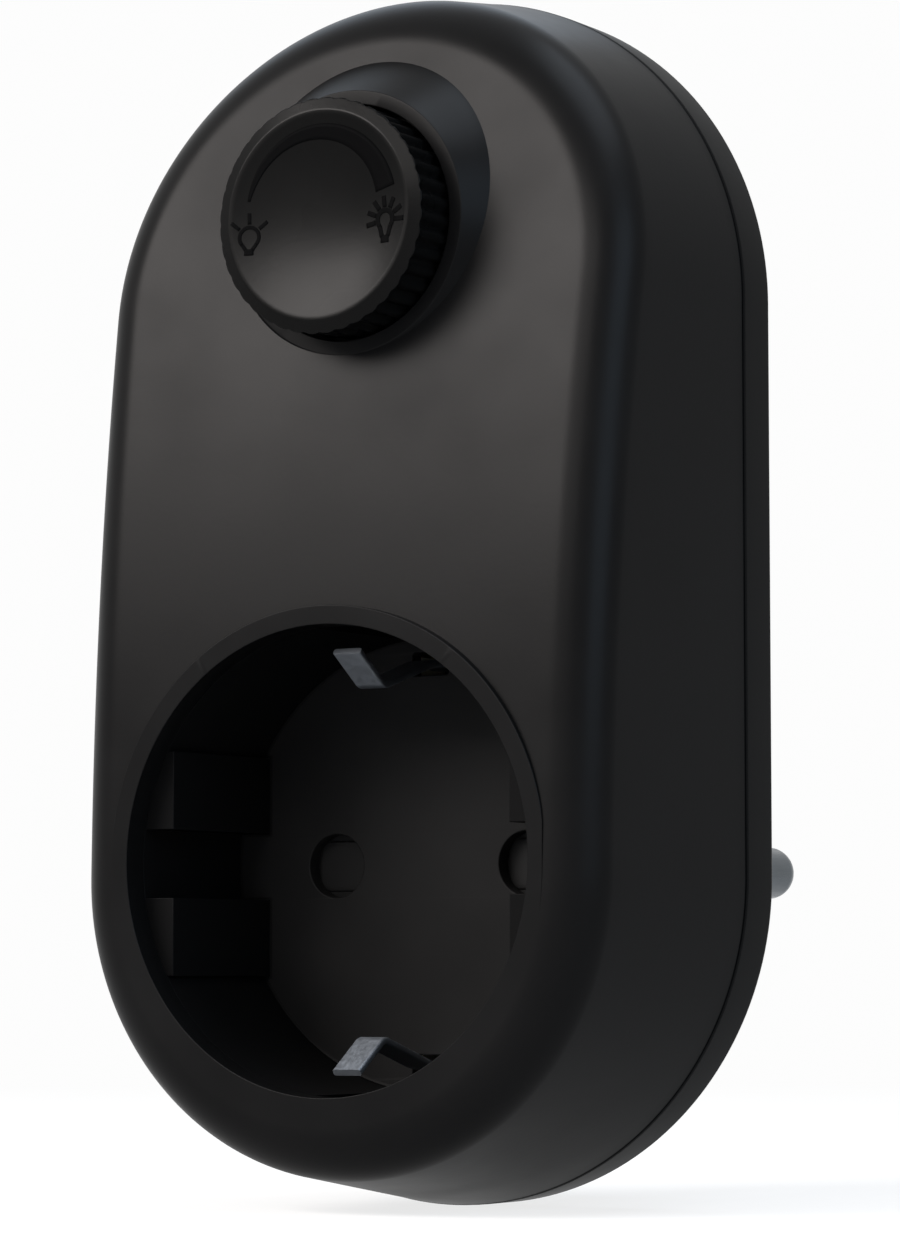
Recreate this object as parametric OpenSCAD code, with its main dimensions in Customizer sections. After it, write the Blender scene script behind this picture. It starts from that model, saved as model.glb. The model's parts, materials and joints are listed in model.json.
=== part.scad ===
// Plug-in rotary dimmer: a round-ended housing with an earthed socket recess in the
// front, the matching plug at the rear and a fluted dimmer knob above the socket.
// Part frame: origin at the centre of the plug face between the pins, +Y towards the
// wall outlet, +X to the right seen from the front, +Z up. Millimetres.
// Modules work in a bench frame: x right, y up from the socket axis, z forward from
// the housing's rear face. place() turns that into the part frame.

/* [Housing] */
// Half the width of the housing
body_r = 28; // [27.5:0.1:30]
// Height of the upper round end's centre above the socket axis
top_centre = 47.5; // [46:0.5:52]
// Depth of the housing at the socket
front_depth = 27.4; // [27:0.1:30]
// Depth of the rear cover's side band
seam_depth = 5.2; // [4.4:0.1:6.5]
// Thickness of the shell walls
wall = 2.2; // [1.9:0.1:2.5]
// Inward lean of the side wall per millimetre of depth
draft = 0.147; // [0.1:0.001:0.16]
// Rounding between the side wall and the front face
edge_round = 3.8; // [3:0.1:4.6]
// Radius of the bend in the front face
bend_radius = 320; // [290:5:400]
// Height at which the front face starts to bend back
bend_start = -7; // [-10:0.5:-2]
// Thickness of the rear plate
rear_plate = 2.2; // [1.8:0.1:2.6]
// Height of the tongue that centres the front shell on the rear cover
tongue_h = 2; // [1:0.1:2.5]

/* [Socket] */
// Distance between the two pin axes
pin_spacing = 19; // [18.8:0.1:19.2]
// Radius of the socket recess
socket_r = 19.5; // [19.2:0.1:20]
// Distance of the recess floor from the rear face
socket_floor = 9.9; // [9.7:0.1:10.4]
// Width of the flat lip around the recess
lip_w = 1.6; // [1:0.1:1.8]
// Distance from the lip plane back to the front edge of the recess cup
cup_setback = 2.5; // [2.2:0.1:3]
// Wall of the recess cup
cup_wall = 1.5; // [1.2:0.1:1.6]
// Thickness of the recess floor
cup_floor = 1.4; // [1.2:0.1:1.8]
// Radius of the pin holes in the recess floor
hole_r = 2.75; // [2.6:0.05:2.9]
// Distance of the guide flats from the socket axis
key_flat = 16.4; // [16.2:0.1:17]
// Height of the guide blocks
key_h = 19; // [17:0.5:20]
// Height of the slot between the guide blocks
key_slot = 5.8; // [5.4:0.1:6.4]

/* [Plug] */
// Radius of the plug body
plug_r = 18.3; // [18:0.1:18.6]
// Length of the plug body behind the housing
plug_len = 19; // [17.5:0.1:20]
// Wall of the plug body at its flats
plug_wall = 2.1; // [1.8:0.1:2.2]
// Thickness of the plug's end wall
plug_end = 2.6; // [2:0.1:3]
// Radius of the pins
pin_r = 2.4; // [2.35:0.01:2.45]
// Free length of the pins
pin_len = 19; // [18.5:0.1:19.5]

/* [Knob] */
// Height of the knob axis above the socket axis
knob_axis = 53.6; // [52.5:0.1:55]
// Radius of the knob
knob_r = 9.7; // [9.2:0.1:10.2]
// Distance of the knob's front rim in front of the socket lip
knob_rise = 0.8; // [0.2:0.1:2]
// Number of flutes around the knob
flutes = 40; // [30:1:44]
// Radius of one flute
flute_r = 0.5; // [0.3:0.05:0.55]
// Depth of the dished knob face
dish = 0.7; // [0.3:0.1:0.9]
// Width of the bevel at the knob's front rim
knob_bevel = 0.9; // [0.5:0.1:1.2]
// Outer radius of the collar ledge around the knob
collar_r = 11.2; // [11:0.1:12]
// Distance of the collar ledge behind the socket lip
collar_drop = 3.8; // [3:0.1:4]
// Growth of the collar's radius per millimetre towards the face
collar_flare = 0.66; // [0.4:0.01:0.7]
// Radius of the potentiometer shaft
shaft_r = 3; // [2.8:0.05:3.1]
// Radius of the potentiometer's case
pot_r = 8; // [7:0.1:8.4]
// Depth of the potentiometer's case
pot_h = 8; // [7:0.1:8.3]

/* [Fits] */
// Radial clearance of turning pieces
run_gap = 0.05; // [0.03:0.01:0.08]
// Clearance between pieces that are only seated
seat_gap = 0.1; // [0.05:0.01:0.15]
// Clearance between moving pieces and their surroundings
move_gap = 0.3; // [0.3:0.05:0.4]

/* [Hidden] */
$fn = 64;

// Colours of the materials
black = "#1c1c1e";
dark_grey = "#2e2e31";
pale_grey = "#c9c9c4";
steel = "#7d848d";
brass = "#c2a14e";
copper = "#a8642f";
board_green = "#2f6b3f";

// Resolution of the housing skin
quarter_steps = 10;
side_steps = 6;
outer_turns = [0, 22.5, 45, 67.5, 90];
inner_turns = [0, 45, 90];

// Levels of the socket stack, counted from the rear face
overcut = 1;
cup_back = socket_floor - cup_floor;
cup_seat = front_depth - cup_setback;
cup_r = socket_r + cup_wall;
shutter_t = 1.6;
shutter_front = cup_back - move_gap;
shutter_back = shutter_front - shutter_t;
carrier_front = shutter_back - move_gap;
carrier_back = carrier_front - 2.1;
pin_x = pin_spacing / 2;

// Plug body
plug_flat = key_flat - 0.4;
plug_rib = key_slot - 0.8;
plug_flat_h = key_h + 0.6;
hollow_x = plug_flat - plug_wall;
hollow_y = plug_r - 3.7;
hollow_r = plug_r - plug_wall;
plug_inner_end = -plug_len + plug_end;
skirt_in = hollow_r + 0.4;
skirt_out = plug_r + 0.1;

// Pins and contacts
pin_shoulder_r = pin_r + 0.35;
pin_flange_r = pin_shoulder_r + 0.65;
pin_flange_t = 1;
pin_root_r = 1.5;
pin_root_end = plug_inner_end + 3.4;
contact_in = pin_r - 0.1;
contact_t = 0.6;
contact_out = contact_in + contact_t;
contact_front = carrier_back - 0.4;
contact_back = -8.6;
contact_slit = 0.8;
carrier_boss_r = hollow_x - pin_x - 0.25;
carrier_boss_end = contact_back + 0.4;

// Shutter
shutter_post_r = 2;
shutter_hub_r = 4.5;
arm_w = 2 * hole_r + 0.5;
arm_end = pin_x + hole_r + 0.4;
lug_w = 2.4;
lug_end = 7.5;
open_angle = 38;
stop_r = 0.8;
stop_at = arm_end - 1.2;
stop_angle = asin((arm_w / 2 + move_gap + stop_r) / stop_at);
spring_t = 0.4;
spring_x = -lug_w / 2 - run_gap - spring_t;
spring_low = lug_end - 2.5;
spring_post = 12.6;
spring_post_h = 2;

// Earth strips
strip_t = 0.6;
strip_w = 5;
clip_w = 2.7;
strip_y = plug_r - 1.05;
channel_floor = strip_y - strip_t / 2 - run_gap;
clip_bend = [strip_y - 2.45, front_depth - 8];
clip_end = [strip_y + 0.25, front_depth - 4];
clip_foot = [strip_y - 0.25, socket_floor + 1.9];
strip_slot_w = strip_w + 4 * seat_gap;
clip_slot_w = clip_w + 0.9;
pocket_w = clip_w + 1.7;
notch_w = strip_slot_w + 0.8;
notch_from = channel_floor - 1;
link_in = skirt_out + 0.3;
link_out = link_in + 1.4;
link_t = 0.5;

// Housing screws
screw_inset = 5.4;
boss_r = 2.5;
boss_len = 10;
post_r = screw_inset - wall + 0.2;
screw_r = 1.2;
head_r = 2.4;
head_t = 1.8;
head_sunk = 0.6;
screw_end = seam_depth + boss_len - 1.2;
side_screw_y = cup_r + 5;
bottom_drop = max(cup_r + head_r + 0.4, link_out + post_r + move_gap) + screw_inset - body_r;
screw_places = [
    [0, top_centre + body_r - screw_inset],
    [0, -bottom_drop - body_r + screw_inset],
    [body_r - screw_inset, side_screw_y],
    [-body_r + screw_inset, side_screw_y]
];

// Knob, collar and potentiometer
knob_front = front_depth + knob_rise;
collar_front = front_depth - collar_drop;
pocket_r = knob_r + move_gap;
pocket_floor = collar_front - 2.6;
pocket_floor_t = 1.6;
panel_back = pocket_floor - pocket_floor_t;
collar_base = panel_back - 1.9;
pot_room_r = pocket_r + 2.5;
knob_back = pocket_floor + 0.4;
knob_skirt_in = knob_r - 1.7;
knob_top_t = 2;
knob_roof = knob_front - knob_top_t;
hub_r = 4.8;
bush_r = 3.5;
bush_end = pocket_floor + 3;
hub_back = bush_end + move_gap;
shaft_end = knob_roof + 0.2;
pot_back = panel_back - pot_h;
pot_skin = 1;
rotor_t = pot_h - 4.6;
rotor_r = pot_r - pot_skin - 0.4;
washer_r = 6.5;
washer_t = 0.5;
nut_flat = 10;
nut_t = 2;

// Circuit board and what stands on it
board_t = 1.6;
pot_lift = 1.3;
board_back = pot_back - pot_lift - board_t;
board_front = board_back + board_t;
board_r = body_r - wall - 1.4;
board_low = top_centre - 17.5;
board_high = top_centre + 17;
board_post_r = 2.6;
board_screw_r = 1;
board_head_r = 2;
board_head_t = 1.4;
board_screw_end = board_back - 4;
board_screw_places = [
    [12.5, top_centre + 14.5],
    [-12.5, top_centre + 14.5],
    [0, board_low + 3]
];
terminal_w = 0.8;
terminal_gap = 5;
fuse_place = [7.4 - board_r, top_centre + 2.5];
fuse_len = 20;
fuse_r = 2.4;
fuse_cap_t = 0.2;
fuse_cap_len = 5;
fuse_lift = 3.4;
clip_wall = 0.4;
clip_len = 4;
choke_place = [-6.8, board_low + 6.8];
choke_r = 5.5;
choke_h = 7.2;
choke_hole = 2;
choke_wire = 0.8;
film_size = [13, 5, 8];
film_place = [3, board_low + 2];
can_place = [4.5, board_low + 11];
can_r = 3;
can_h = 6.9;
sink_size = [8, 17, 1.5];
sink_place = [pot_r + 0.5, top_centre - 7.5];
triac_size = [7, 11, 3.2];
triac_lead = 0.8;
resistor_r = 1.1;
resistor_len = 6;
resistor_x = board_r - 3.4;
resistor_rows = [top_centre - 7.5, top_centre + 1.5];

// Insulated leads, as routes in the bench frame
lead_r = 0.9;
lead_sides = 8;
lead_notch_w = 3.4;
lead_angle = 60;
lead_turn = hollow_r - 1.2;
lead_notch_from = lead_turn - 1.4;
lead_clear = skirt_out + 2;
lead_run = min(cup_back, board_back) - 1.2;
function lead_at(side, r, level) = [side * r * cos(lead_angle), r * sin(lead_angle), level];
function lead_end(side) = [
    lead_at(side, lead_turn, 1),
    lead_at(side, lead_turn, lead_run - 1),
    lead_at(side, lead_turn + 1, lead_run),
    lead_at(side, lead_clear, lead_run),
    [side * lead_clear * cos(lead_angle), board_low + 0.8, lead_run],
    [side * lead_clear * cos(lead_angle), board_low + 2.4, lead_run + 0.2],
    [side * lead_clear * cos(lead_angle), board_low + 2.4, board_back]
];
live_route = concat(
    [[-pin_x, 0, pin_root_end + lead_r], [-pin_x + 3.5, 10, contact_back + 2.6]],
    lead_end(-1)
);
load_route = concat(
    [[-pin_x + 5.3, 0.6, contact_back + lead_r + run_gap], [-1, 8, contact_back + 2.6]],
    lead_end(1)
);

// Moves the bench frame into the part frame
module place() {
    translate([0, -plug_len, 0])
        rotate([90, 0, 0])
            children();
}

// A disc or ring between two levels
module disc(r, low, high) {
    translate([0, 0, low])
        cylinder(r = r, h = high - low);
}

// Round-ended outline of the housing
module stadium(r) {
    translate([0, top_centre])
        circle(r = r, $fn = 128);
    translate([0, -bottom_drop])
        circle(r = r, $fn = 128);
    translate([-r, -bottom_drop])
        square([2 * r, top_centre + bottom_drop]);
}

// A block of the stadium outline between two levels
module stadium_block(r, low, high) {
    translate([0, 0, low])
        linear_extrude(high - low)
            stadium(r);
}

// Front face level at a height
function front_at(y) =
    front_depth - pow(max(0, y - bend_start), 2) / (2 * bend_radius);

// Stations around the outline: arc centre height and angle, bottom to top on the right
right_stations = concat(
    [for (i = [0 : quarter_steps]) [-bottom_drop, -90 + 90 * i / quarter_steps]],
    [for (i = [1 : side_steps - 1])
        [-bottom_drop + (top_centre + bottom_drop) * i / side_steps, 0]],
    [for (i = [0 : quarter_steps]) [top_centre, 90 * i / quarter_steps]]
);
right_count = len(right_stations);
stations = concat(
    right_stations,
    [for (i = [right_count - 2 : -1 : 1]) [right_stations[i][0], 180 - right_stations[i][1]]]
);
station_count = len(stations);

// Point of the skin at a station; turn runs from 0 on the side wall to 90 on the front
function skin_point(station, inset, rounding, turn) =
    let (
        r = body_r - inset - rounding * (1 - cos(turn)),
        drop = inset + rounding * (1 - sin(turn)),
        upright = front_at(station[0] + r * sin(station[1])) - drop,
        lean = draft * max(0, upright - seam_depth),
        level = front_at(station[0] + (r - lean) * sin(station[1])) - drop,
        leaned = r - draft * max(0, level - seam_depth)
    )
    [leaned * cos(station[1]), station[0] + leaned * sin(station[1]), level];

// Ring of the skin in the seam plane
function seam_ring(inset) = [
    for (s = stations)
        [(body_r - inset) * cos(s[1]), s[0] + (body_r - inset) * sin(s[1]), seam_depth]
];

// Faces between two rings, seen from outside or inside
function band_faces(a, b, count, outside) = [
    for (i = [0 : count - 1])
        let (
            j = (i + 1) % count,
            quad = [a * count + i, b * count + i, b * count + j, a * count + j]
        )
        for (t = [[0, 1, 2], [0, 2, 3]])
            outside ? [quad[t[0]], quad[t[1]], quad[t[2]]] : [quad[t[2]], quad[t[1]], quad[t[0]]]
];

// Faces of the front cap on one ring, in strips from the right edge to the left
function cap_faces(ring, outside) = [
    for (i = [0 : right_count - 2])
        let (
            base = ring * station_count,
            right_low = base + i,
            right_high = base + i + 1,
            left_low = base + (station_count - i) % station_count,
            left_high = base + station_count - i - 1
        )
        for (f = [
            if (i > 0) [right_low, left_low, left_high],
            if (i == 0) [right_low, left_high, right_high],
            if (i > 0 && i < right_count - 2) [right_low, left_high, right_high]
        ])
            outside ? f : [f[2], f[1], f[0]]
];

// Hollow skin of the front shell, open at the seam
module shell_skin() {
    inner_round = max(edge_round - wall, 0.4);
    outer_rings = concat(
        [seam_ring(0)],
        [for (t = outer_turns) [for (s = stations) skin_point(s, 0, edge_round, t)]]
    );
    inner_rings = concat(
        [seam_ring(wall)],
        [for (t = inner_turns) [for (s = stations) skin_point(s, wall, inner_round, t)]]
    );
    outer_count = len(outer_rings);
    all_rings = concat(outer_rings, inner_rings);
    last_ring = len(all_rings) - 1;
    polyhedron(
        points = [for (ring = all_rings) for (p = ring) p],
        faces = concat(
            [for (k = [0 : outer_count - 2])
                for (f = band_faces(k, k + 1, station_count, true)) f],
            cap_faces(outer_count - 1, true),
            [for (k = [outer_count : last_ring - 1])
                for (f = band_faces(k, k + 1, station_count, false)) f],
            cap_faces(last_ring, false),
            band_faces(outer_count, 0, station_count, true)
        )
    );
}

// Outline of a bent strip of even thickness along a line of points
function direction(a, b) = (b - a) / norm(b - a);
function left_of(d) = [-d[1], d[0]];
function strip_side(line, offset) = [
    for (i = [0 : len(line) - 1])
        let (
            before = left_of(direction(line[max(i - 1, 0)], line[max(i, 1)])),
            after = left_of(direction(line[min(i, len(line) - 2)], line[min(i + 1, len(line) - 1)])),
            mid = before + after
        )
        line[i] + offset * mid / (mid * before)
];
function strip_outline(line, t) =
    let (back = strip_side(line, -t / 2))
    concat(strip_side(line, t / 2), [for (i = [len(back) - 1 : -1 : 0]) back[i]]);

// Strip bent in the y-z plane, with its width along x
module bent_strip(line, t, w) {
    rotate([90, 0, 90])
        linear_extrude(w, center = true)
            polygon(strip_outline(line, t));
}

// Round lead swept along a route that never runs along x
module lead(route) {
    last = len(route) - 1;
    rings = [
        for (i = [0 : last])
            let (
                along = direction(route[max(i - 1, 0)], route[min(i + 1, last)]),
                across = cross(along, [1, 0, 0]) / norm(cross(along, [1, 0, 0])),
                up = cross(across, along)
            )
            for (k = [0 : lead_sides - 1])
                route[i] + lead_r * (up * cos(360 * k / lead_sides) + across * sin(360 * k / lead_sides))
    ];
    polyhedron(
        points = rings,
        faces = concat(
            [for (i = [0 : last - 1]) for (f = band_faces(i, i + 1, lead_sides, true)) f],
            [[for (k = [0 : lead_sides - 1]) k]],
            [[for (k = [lead_sides - 1 : -1 : 0]) last * lead_sides + k]]
        )
    );
}

// Notches that let the earth strips and the leads pass the socket stack
module stack_notches(low, high) {
    for (side = [-1, 1])
        translate([-notch_w / 2, side > 0 ? notch_from : -notch_from - body_r, low])
            cube([notch_w, body_r, high - low]);
    for (angle = [lead_angle, 180 - lead_angle])
        rotate([0, 0, angle])
            translate([lead_notch_from, -lead_notch_w / 2, low])
                cube([body_r, lead_notch_w, high - low]);
}

// Front shell with the socket lip, the knob collar and the screw bosses
module front_shell() color(black) place() {
    difference() {
        union() {
            shell_skin();
            disc(socket_r + lip_w, cup_seat, front_depth);
            translate([0, knob_axis, collar_base])
                cylinder(
                    r1 = collar_r + collar_flare * (collar_front - collar_base),
                    r2 = collar_r,
                    h = collar_front - collar_base
                );
            for (p = screw_places)
                translate(p)
                    disc(boss_r, seam_depth, seam_depth + boss_len);
        }
        disc(socket_r, cup_seat - overcut, front_depth + overcut);
        disc(cup_r + seat_gap, 0, cup_seat);
        translate([0, knob_axis, 0]) {
            disc(pocket_r, pocket_floor, front_depth + overcut);
            disc(pot_room_r, collar_base - overcut, panel_back);
            disc(bush_r + seat_gap, panel_back - overcut, pocket_floor + overcut);
        }
        for (p = screw_places)
            translate(p)
                disc(screw_r + run_gap, seam_depth - overcut, screw_end + 0.4);
    }
}

// Outline of the plug body with its side flats and guide ribs
module plug_outline() {
    difference() {
        circle(r = plug_r, $fn = 128);
        for (sx = [-1, 1])
            for (sy = [-1, 1])
                translate([
                    sx > 0 ? plug_flat : -plug_flat - plug_r,
                    sy > 0 ? plug_rib / 2 : -plug_flat_h / 2
                ])
                    square([plug_r, (plug_flat_h - plug_rib) / 2]);
    }
}

// Hollow inside the plug body
module plug_hollow() {
    intersection() {
        circle(r = hollow_r, $fn = 128);
        square([2 * hollow_x, 2 * hollow_y], center = true);
    }
}

// Rear cover with its side band, screw posts and board posts
module rear_cover() color(black) place() {
    tongue_r = body_r - wall - draft * tongue_h - 0.2;
    difference() {
        union() {
            difference() {
                stadium_block(body_r, 0, seam_depth);
                stadium_block(body_r - wall, rear_plate, seam_depth + overcut);
            }
            difference() {
                stadium_block(tongue_r, rear_plate / 2, seam_depth + tongue_h);
                stadium_block(tongue_r - 1.2, rear_plate / 4, seam_depth + tongue_h + overcut);
                for (p = screw_places)
                    translate(p)
                        disc(boss_r + 0.3, seam_depth, seam_depth + tongue_h + overcut);
            }
            for (p = screw_places)
                translate(p)
                    disc(post_r, rear_plate / 2, seam_depth);
            for (p = board_screw_places)
                translate(p)
                    disc(board_post_r, rear_plate / 2, board_back);
        }
        translate([0, 0, -overcut])
            linear_extrude(rear_plate + 2 * overcut)
                plug_hollow();
        for (side = [-1, 1])
            translate([
                -strip_slot_w / 2,
                side * strip_y - strip_t / 2 - run_gap,
                -overcut
            ])
                cube([strip_slot_w, strip_t + 2 * run_gap, rear_plate + 2 * overcut]);
        for (p = screw_places)
            translate(p) {
                disc(screw_r + seat_gap, -overcut, seam_depth + overcut);
                disc(head_r + 2 * seat_gap, -overcut, head_sunk + head_t);
            }
        for (p = board_screw_places)
            translate(p)
                disc(board_screw_r + run_gap, board_screw_end - 0.4, board_back + overcut);
    }
}

// Plug body with its guide flats, earth channels and hollow, welded to the rear cover
module plug_body() color(black) place() {
    difference() {
        translate([0, 0, -plug_len])
            linear_extrude(plug_len)
                plug_outline();
        translate([0, 0, plug_inner_end])
            linear_extrude(plug_len)
                plug_hollow();
        for (side = [-1, 1]) {
            translate([side * pin_x, 0, 0])
                disc(pin_shoulder_r + run_gap, -plug_len - overcut, plug_inner_end + overcut);
            translate([
                -strip_slot_w / 2,
                side > 0 ? channel_floor : -channel_floor - plug_r,
                -plug_len - overcut
            ])
                cube([strip_slot_w, plug_r, plug_len + 2 * overcut]);
        }
    }
}

// Sunk pan-head housing screws, driven from the rear
module cover_screws() color(steel) place() {
    slot_w = 0.7;
    for (p = screw_places)
        translate(p)
            difference() {
                union() {
                    disc(head_r, head_sunk, head_sunk + head_t);
                    disc(screw_r, head_sunk + head_t / 2, screw_end);
                }
                for (turn = [0, 90])
                    rotate([0, 0, turn])
                        translate([-head_r * 0.7, -slot_w / 2, head_sunk - overcut])
                            cube([head_r * 1.4, slot_w, overcut + head_t / 2]);
            }
}

// Recess wall with the guide blocks and the pockets of the earth clips
module socket_cup() color(black) place() {
    difference() {
        union() {
            difference() {
                disc(cup_r, socket_floor, cup_seat);
                disc(socket_r, socket_floor - overcut, cup_seat + overcut);
            }
            intersection() {
                disc((cup_r + socket_r) / 2, socket_floor, cup_seat);
                for (sx = [-1, 1])
                    for (sy = [-1, 1])
                        translate([
                            sx > 0 ? key_flat : -key_flat - cup_r,
                            sy > 0 ? key_slot / 2 : -key_h / 2,
                            socket_floor
                        ])
                            cube([cup_r, (key_h - key_slot) / 2, cup_seat]);
            }
        }
        for (side = [-1, 1])
            translate([
                -pocket_w / 2,
                side > 0 ? socket_r - 1 : -cup_r - overcut,
                clip_foot[1]
            ])
                cube([pocket_w, cup_wall + 1 + overcut, cup_seat]);
    }
}

// Recess floor with the pin holes, the slots of the earth clips and the skirt round the shutter
module recess_floor() color(black) place() {
    difference() {
        union() {
            disc(cup_r, cup_back, socket_floor);
            difference() {
                disc(skirt_out, carrier_front, cup_back + cup_floor / 2);
                disc(skirt_in, carrier_front - overcut, cup_back);
                stack_notches(carrier_front - overcut, cup_back);
            }
        }
        for (side = [-1, 1]) {
            translate([side * pin_x, 0, 0])
                disc(hole_r, cup_back - overcut, socket_floor + overcut);
            translate([-clip_slot_w / 2, side * strip_y - 1, cup_back - overcut])
                cube([clip_slot_w, 2, cup_floor + 2 * overcut]);
        }
    }
}

// Shutter that covers both pin holes and turns out of the way
module shutter() color(dark_grey) place() {
    difference() {
        union() {
            disc(shutter_hub_r, shutter_back, shutter_front);
            translate([-arm_end, -arm_w / 2, shutter_back])
                cube([2 * arm_end, arm_w, shutter_t]);
            translate([-lug_w / 2, 0, shutter_back])
                cube([lug_w, lug_end, shutter_t]);
        }
        disc(shutter_post_r + run_gap, shutter_back - overcut, shutter_front + overcut);
    }
}

// Leaf spring that pushes the shutter back
module shutter_spring() color(steel) place() {
    translate([spring_x, spring_low, shutter_back + 0.3])
        cube([spring_t, spring_post + spring_post_h - spring_low - 0.2, shutter_t - 0.6]);
}

// Insulating carrier for the contacts, with the shutter's post and stops
module contact_carrier() color(pale_grey) place() {
    difference() {
        union() {
            disc(skirt_out, carrier_back, carrier_front);
            difference() {
                disc(skirt_out, rear_plate, carrier_back + overcut);
                disc(skirt_in, rear_plate - overcut, carrier_back);
            }
            for (side = [-1, 1])
                translate([side * pin_x, 0, 0])
                    disc(carrier_boss_r, carrier_boss_end, carrier_back + overcut);
            disc(shutter_post_r, carrier_front - overcut, shutter_front);
            for (angle = [-stop_angle, open_angle + stop_angle])
                for (half = [0, 180])
                    rotate([0, 0, angle + half])
                        translate([stop_at, 0, 0])
                            disc(stop_r, carrier_front - overcut, shutter_front);
            translate([spring_x - 1.6, spring_post, carrier_front - overcut])
                cube([spring_t + 3.2, spring_post_h, shutter_front - carrier_front + overcut]);
        }
        for (side = [-1, 1])
            translate([side * pin_x, 0, 0]) {
                disc(hole_r, carrier_back - overcut, carrier_front + overcut);
                disc(contact_out + run_gap, carrier_boss_end - overcut, contact_front + run_gap);
            }
        translate([spring_x - run_gap, spring_post - overcut, shutter_back + 0.3 - run_gap])
            cube([spring_t + 2 * run_gap, spring_post_h + overcut, shutter_t + overcut]);
        stack_notches(rear_plate - overcut, carrier_front + overcut);
    }
}

// Split sleeve that grips an inserted pin
module contact_sleeve(side) {
    translate([side * pin_x, 0, 0])
        difference() {
            disc(contact_out, contact_back - contact_t, contact_front);
            disc(contact_in, contact_back, contact_front + overcut);
            translate([-contact_slit / 2, -contact_out - overcut, contact_back])
                cube([contact_slit, contact_out + overcut, contact_front]);
        }
}

// Switched contact on the left, with a tail for the lead from the dimmer
module live_contact() color(brass) place() {
    contact_sleeve(-1);
    translate([-pin_x, -1.5, contact_back - contact_t])
        cube([6.2, 3, contact_t]);
}

// Contact on the right, joined straight to its pin
module neutral_contact() color(brass) place() {
    contact_sleeve(1);
    translate([pin_x - 1.5, -contact_t / 2, pin_root_end])
        cube([3, contact_t, contact_back - pin_root_end - contact_t / 2]);
}

// Earth strip: side contact of the plug at the rear, spring clip in the recess
module earth_strip(side) {
    plug_part = [[strip_y, -plug_len + 2.5], [strip_y, cup_back - 1]];
    clip_part = [[strip_y, cup_back - 2], [strip_y, socket_floor + 0.4], clip_foot, clip_bend, clip_end];
    mirror([0, side > 0 ? 0 : 1, 0]) {
        bent_strip(plug_part, strip_t, strip_w);
        bent_strip(clip_part, strip_t, clip_w);
    }
}

module earth_strip_upper() color(steel) place() earth_strip(1);

module earth_strip_lower() color(steel) place() earth_strip(-1);

// Half ring that joins the two earth strips
module earth_link() color(brass) place() {
    difference() {
        disc(link_out, rear_plate, rear_plate + link_t);
        disc(link_in, rear_plate - overcut, rear_plate + link_t + overcut);
        translate([0, -body_r, rear_plate - overcut])
            cube([body_r, 2 * body_r, link_t + 2 * overcut]);
    }
    for (side = [-1, 1])
        translate([
            -1.9,
            side > 0 ? strip_y + strip_t / 2 + run_gap : -link_in - 0.6,
            rear_plate
        ])
            cube([3.8, link_in + 0.6 - strip_y - strip_t / 2 - run_gap, link_t]);
}

// Round-tipped pin, with a shoulder in the plug's end wall and a flange behind it
module plug_pin(side) {
    translate([side * pin_x, 0, -plug_len - pin_len])
        rotate_extrude()
            intersection() {
                translate([0, pin_r])
                    union() {
                        circle(r = pin_r);
                        square([pin_r, pin_len + plug_end / 2 - pin_r]);
                    }
                square([pin_r, pin_len + plug_end]);
            }
    translate([side * pin_x, 0, 0]) {
        disc(pin_shoulder_r, -plug_len, plug_inner_end + pin_flange_t / 2);
        disc(pin_flange_r, plug_inner_end, plug_inner_end + pin_flange_t);
        disc(pin_root_r, plug_inner_end + pin_flange_t / 2, pin_root_end);
    }
}

module live_pin() color(steel) place() plug_pin(-1);

module neutral_pin() color(steel) place() plug_pin(1);

// Circuit board behind the knob
module circuit_board() color(board_green) place() {
    difference() {
        translate([0, 0, board_back])
            linear_extrude(board_t)
                intersection() {
                    translate([0, top_centre])
                        circle(r = board_r, $fn = 128);
                    translate([-board_r, board_low])
                        square([2 * board_r, board_high - board_low]);
                }
        for (p = board_screw_places)
            translate(p)
                disc(board_screw_r + seat_gap, board_back - overcut, board_front + overcut);
    }
}

// Screws that hold the board on its posts
module board_screws() color(steel) place() {
    for (p = board_screw_places)
        translate(p) {
            disc(board_head_r, board_front, board_front + board_head_t);
            disc(board_screw_r, board_screw_end, board_front + board_head_t / 2);
        }
}

// Potentiometer case with its threaded bush
module pot_body() color(pale_grey) place() translate([0, knob_axis, 0]) {
    difference() {
        union() {
            disc(pot_r, pot_back, panel_back);
            disc(bush_r, panel_back - overcut, bush_end);
        }
        disc(pot_r - pot_skin, pot_back + pot_skin, panel_back - 2);
        disc(shaft_r + run_gap, panel_back - 2 - overcut, bush_end + overcut);
    }
}

// Solder terminals between the potentiometer and the board
module pot_terminals() color(steel) place() {
    for (i = [-1, 0, 1])
        translate([
            i * terminal_gap - terminal_w / 2,
            knob_axis - pot_r - run_gap - terminal_w,
            board_front
        ])
            cube([terminal_w, terminal_w, panel_back - 3 - board_front]);
}

// Shaft with the wiper disc inside the case
module pot_shaft() color(steel) place() translate([0, knob_axis, 0]) {
    rotor_back = pot_back + pot_skin + 0.8;
    disc(rotor_r, rotor_back, rotor_back + rotor_t);
    disc(shaft_r, rotor_back + rotor_t / 2, shaft_end);
}

// Washer under the nut
module pot_washer() color(steel) place() translate([0, knob_axis, 0]) {
    difference() {
        disc(washer_r, pocket_floor, pocket_floor + washer_t);
        disc(bush_r + run_gap, pocket_floor - overcut, pocket_floor + washer_t + overcut);
    }
}

// Hexagon nut that holds the potentiometer in the shell
module pot_nut() color(brass) place() translate([0, knob_axis, pocket_floor + washer_t]) {
    difference() {
        cylinder(r = nut_flat / sqrt(3), h = nut_t, $fn = 6);
        disc(bush_r + run_gap, -overcut, nut_t + overcut);
    }
}

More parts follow.
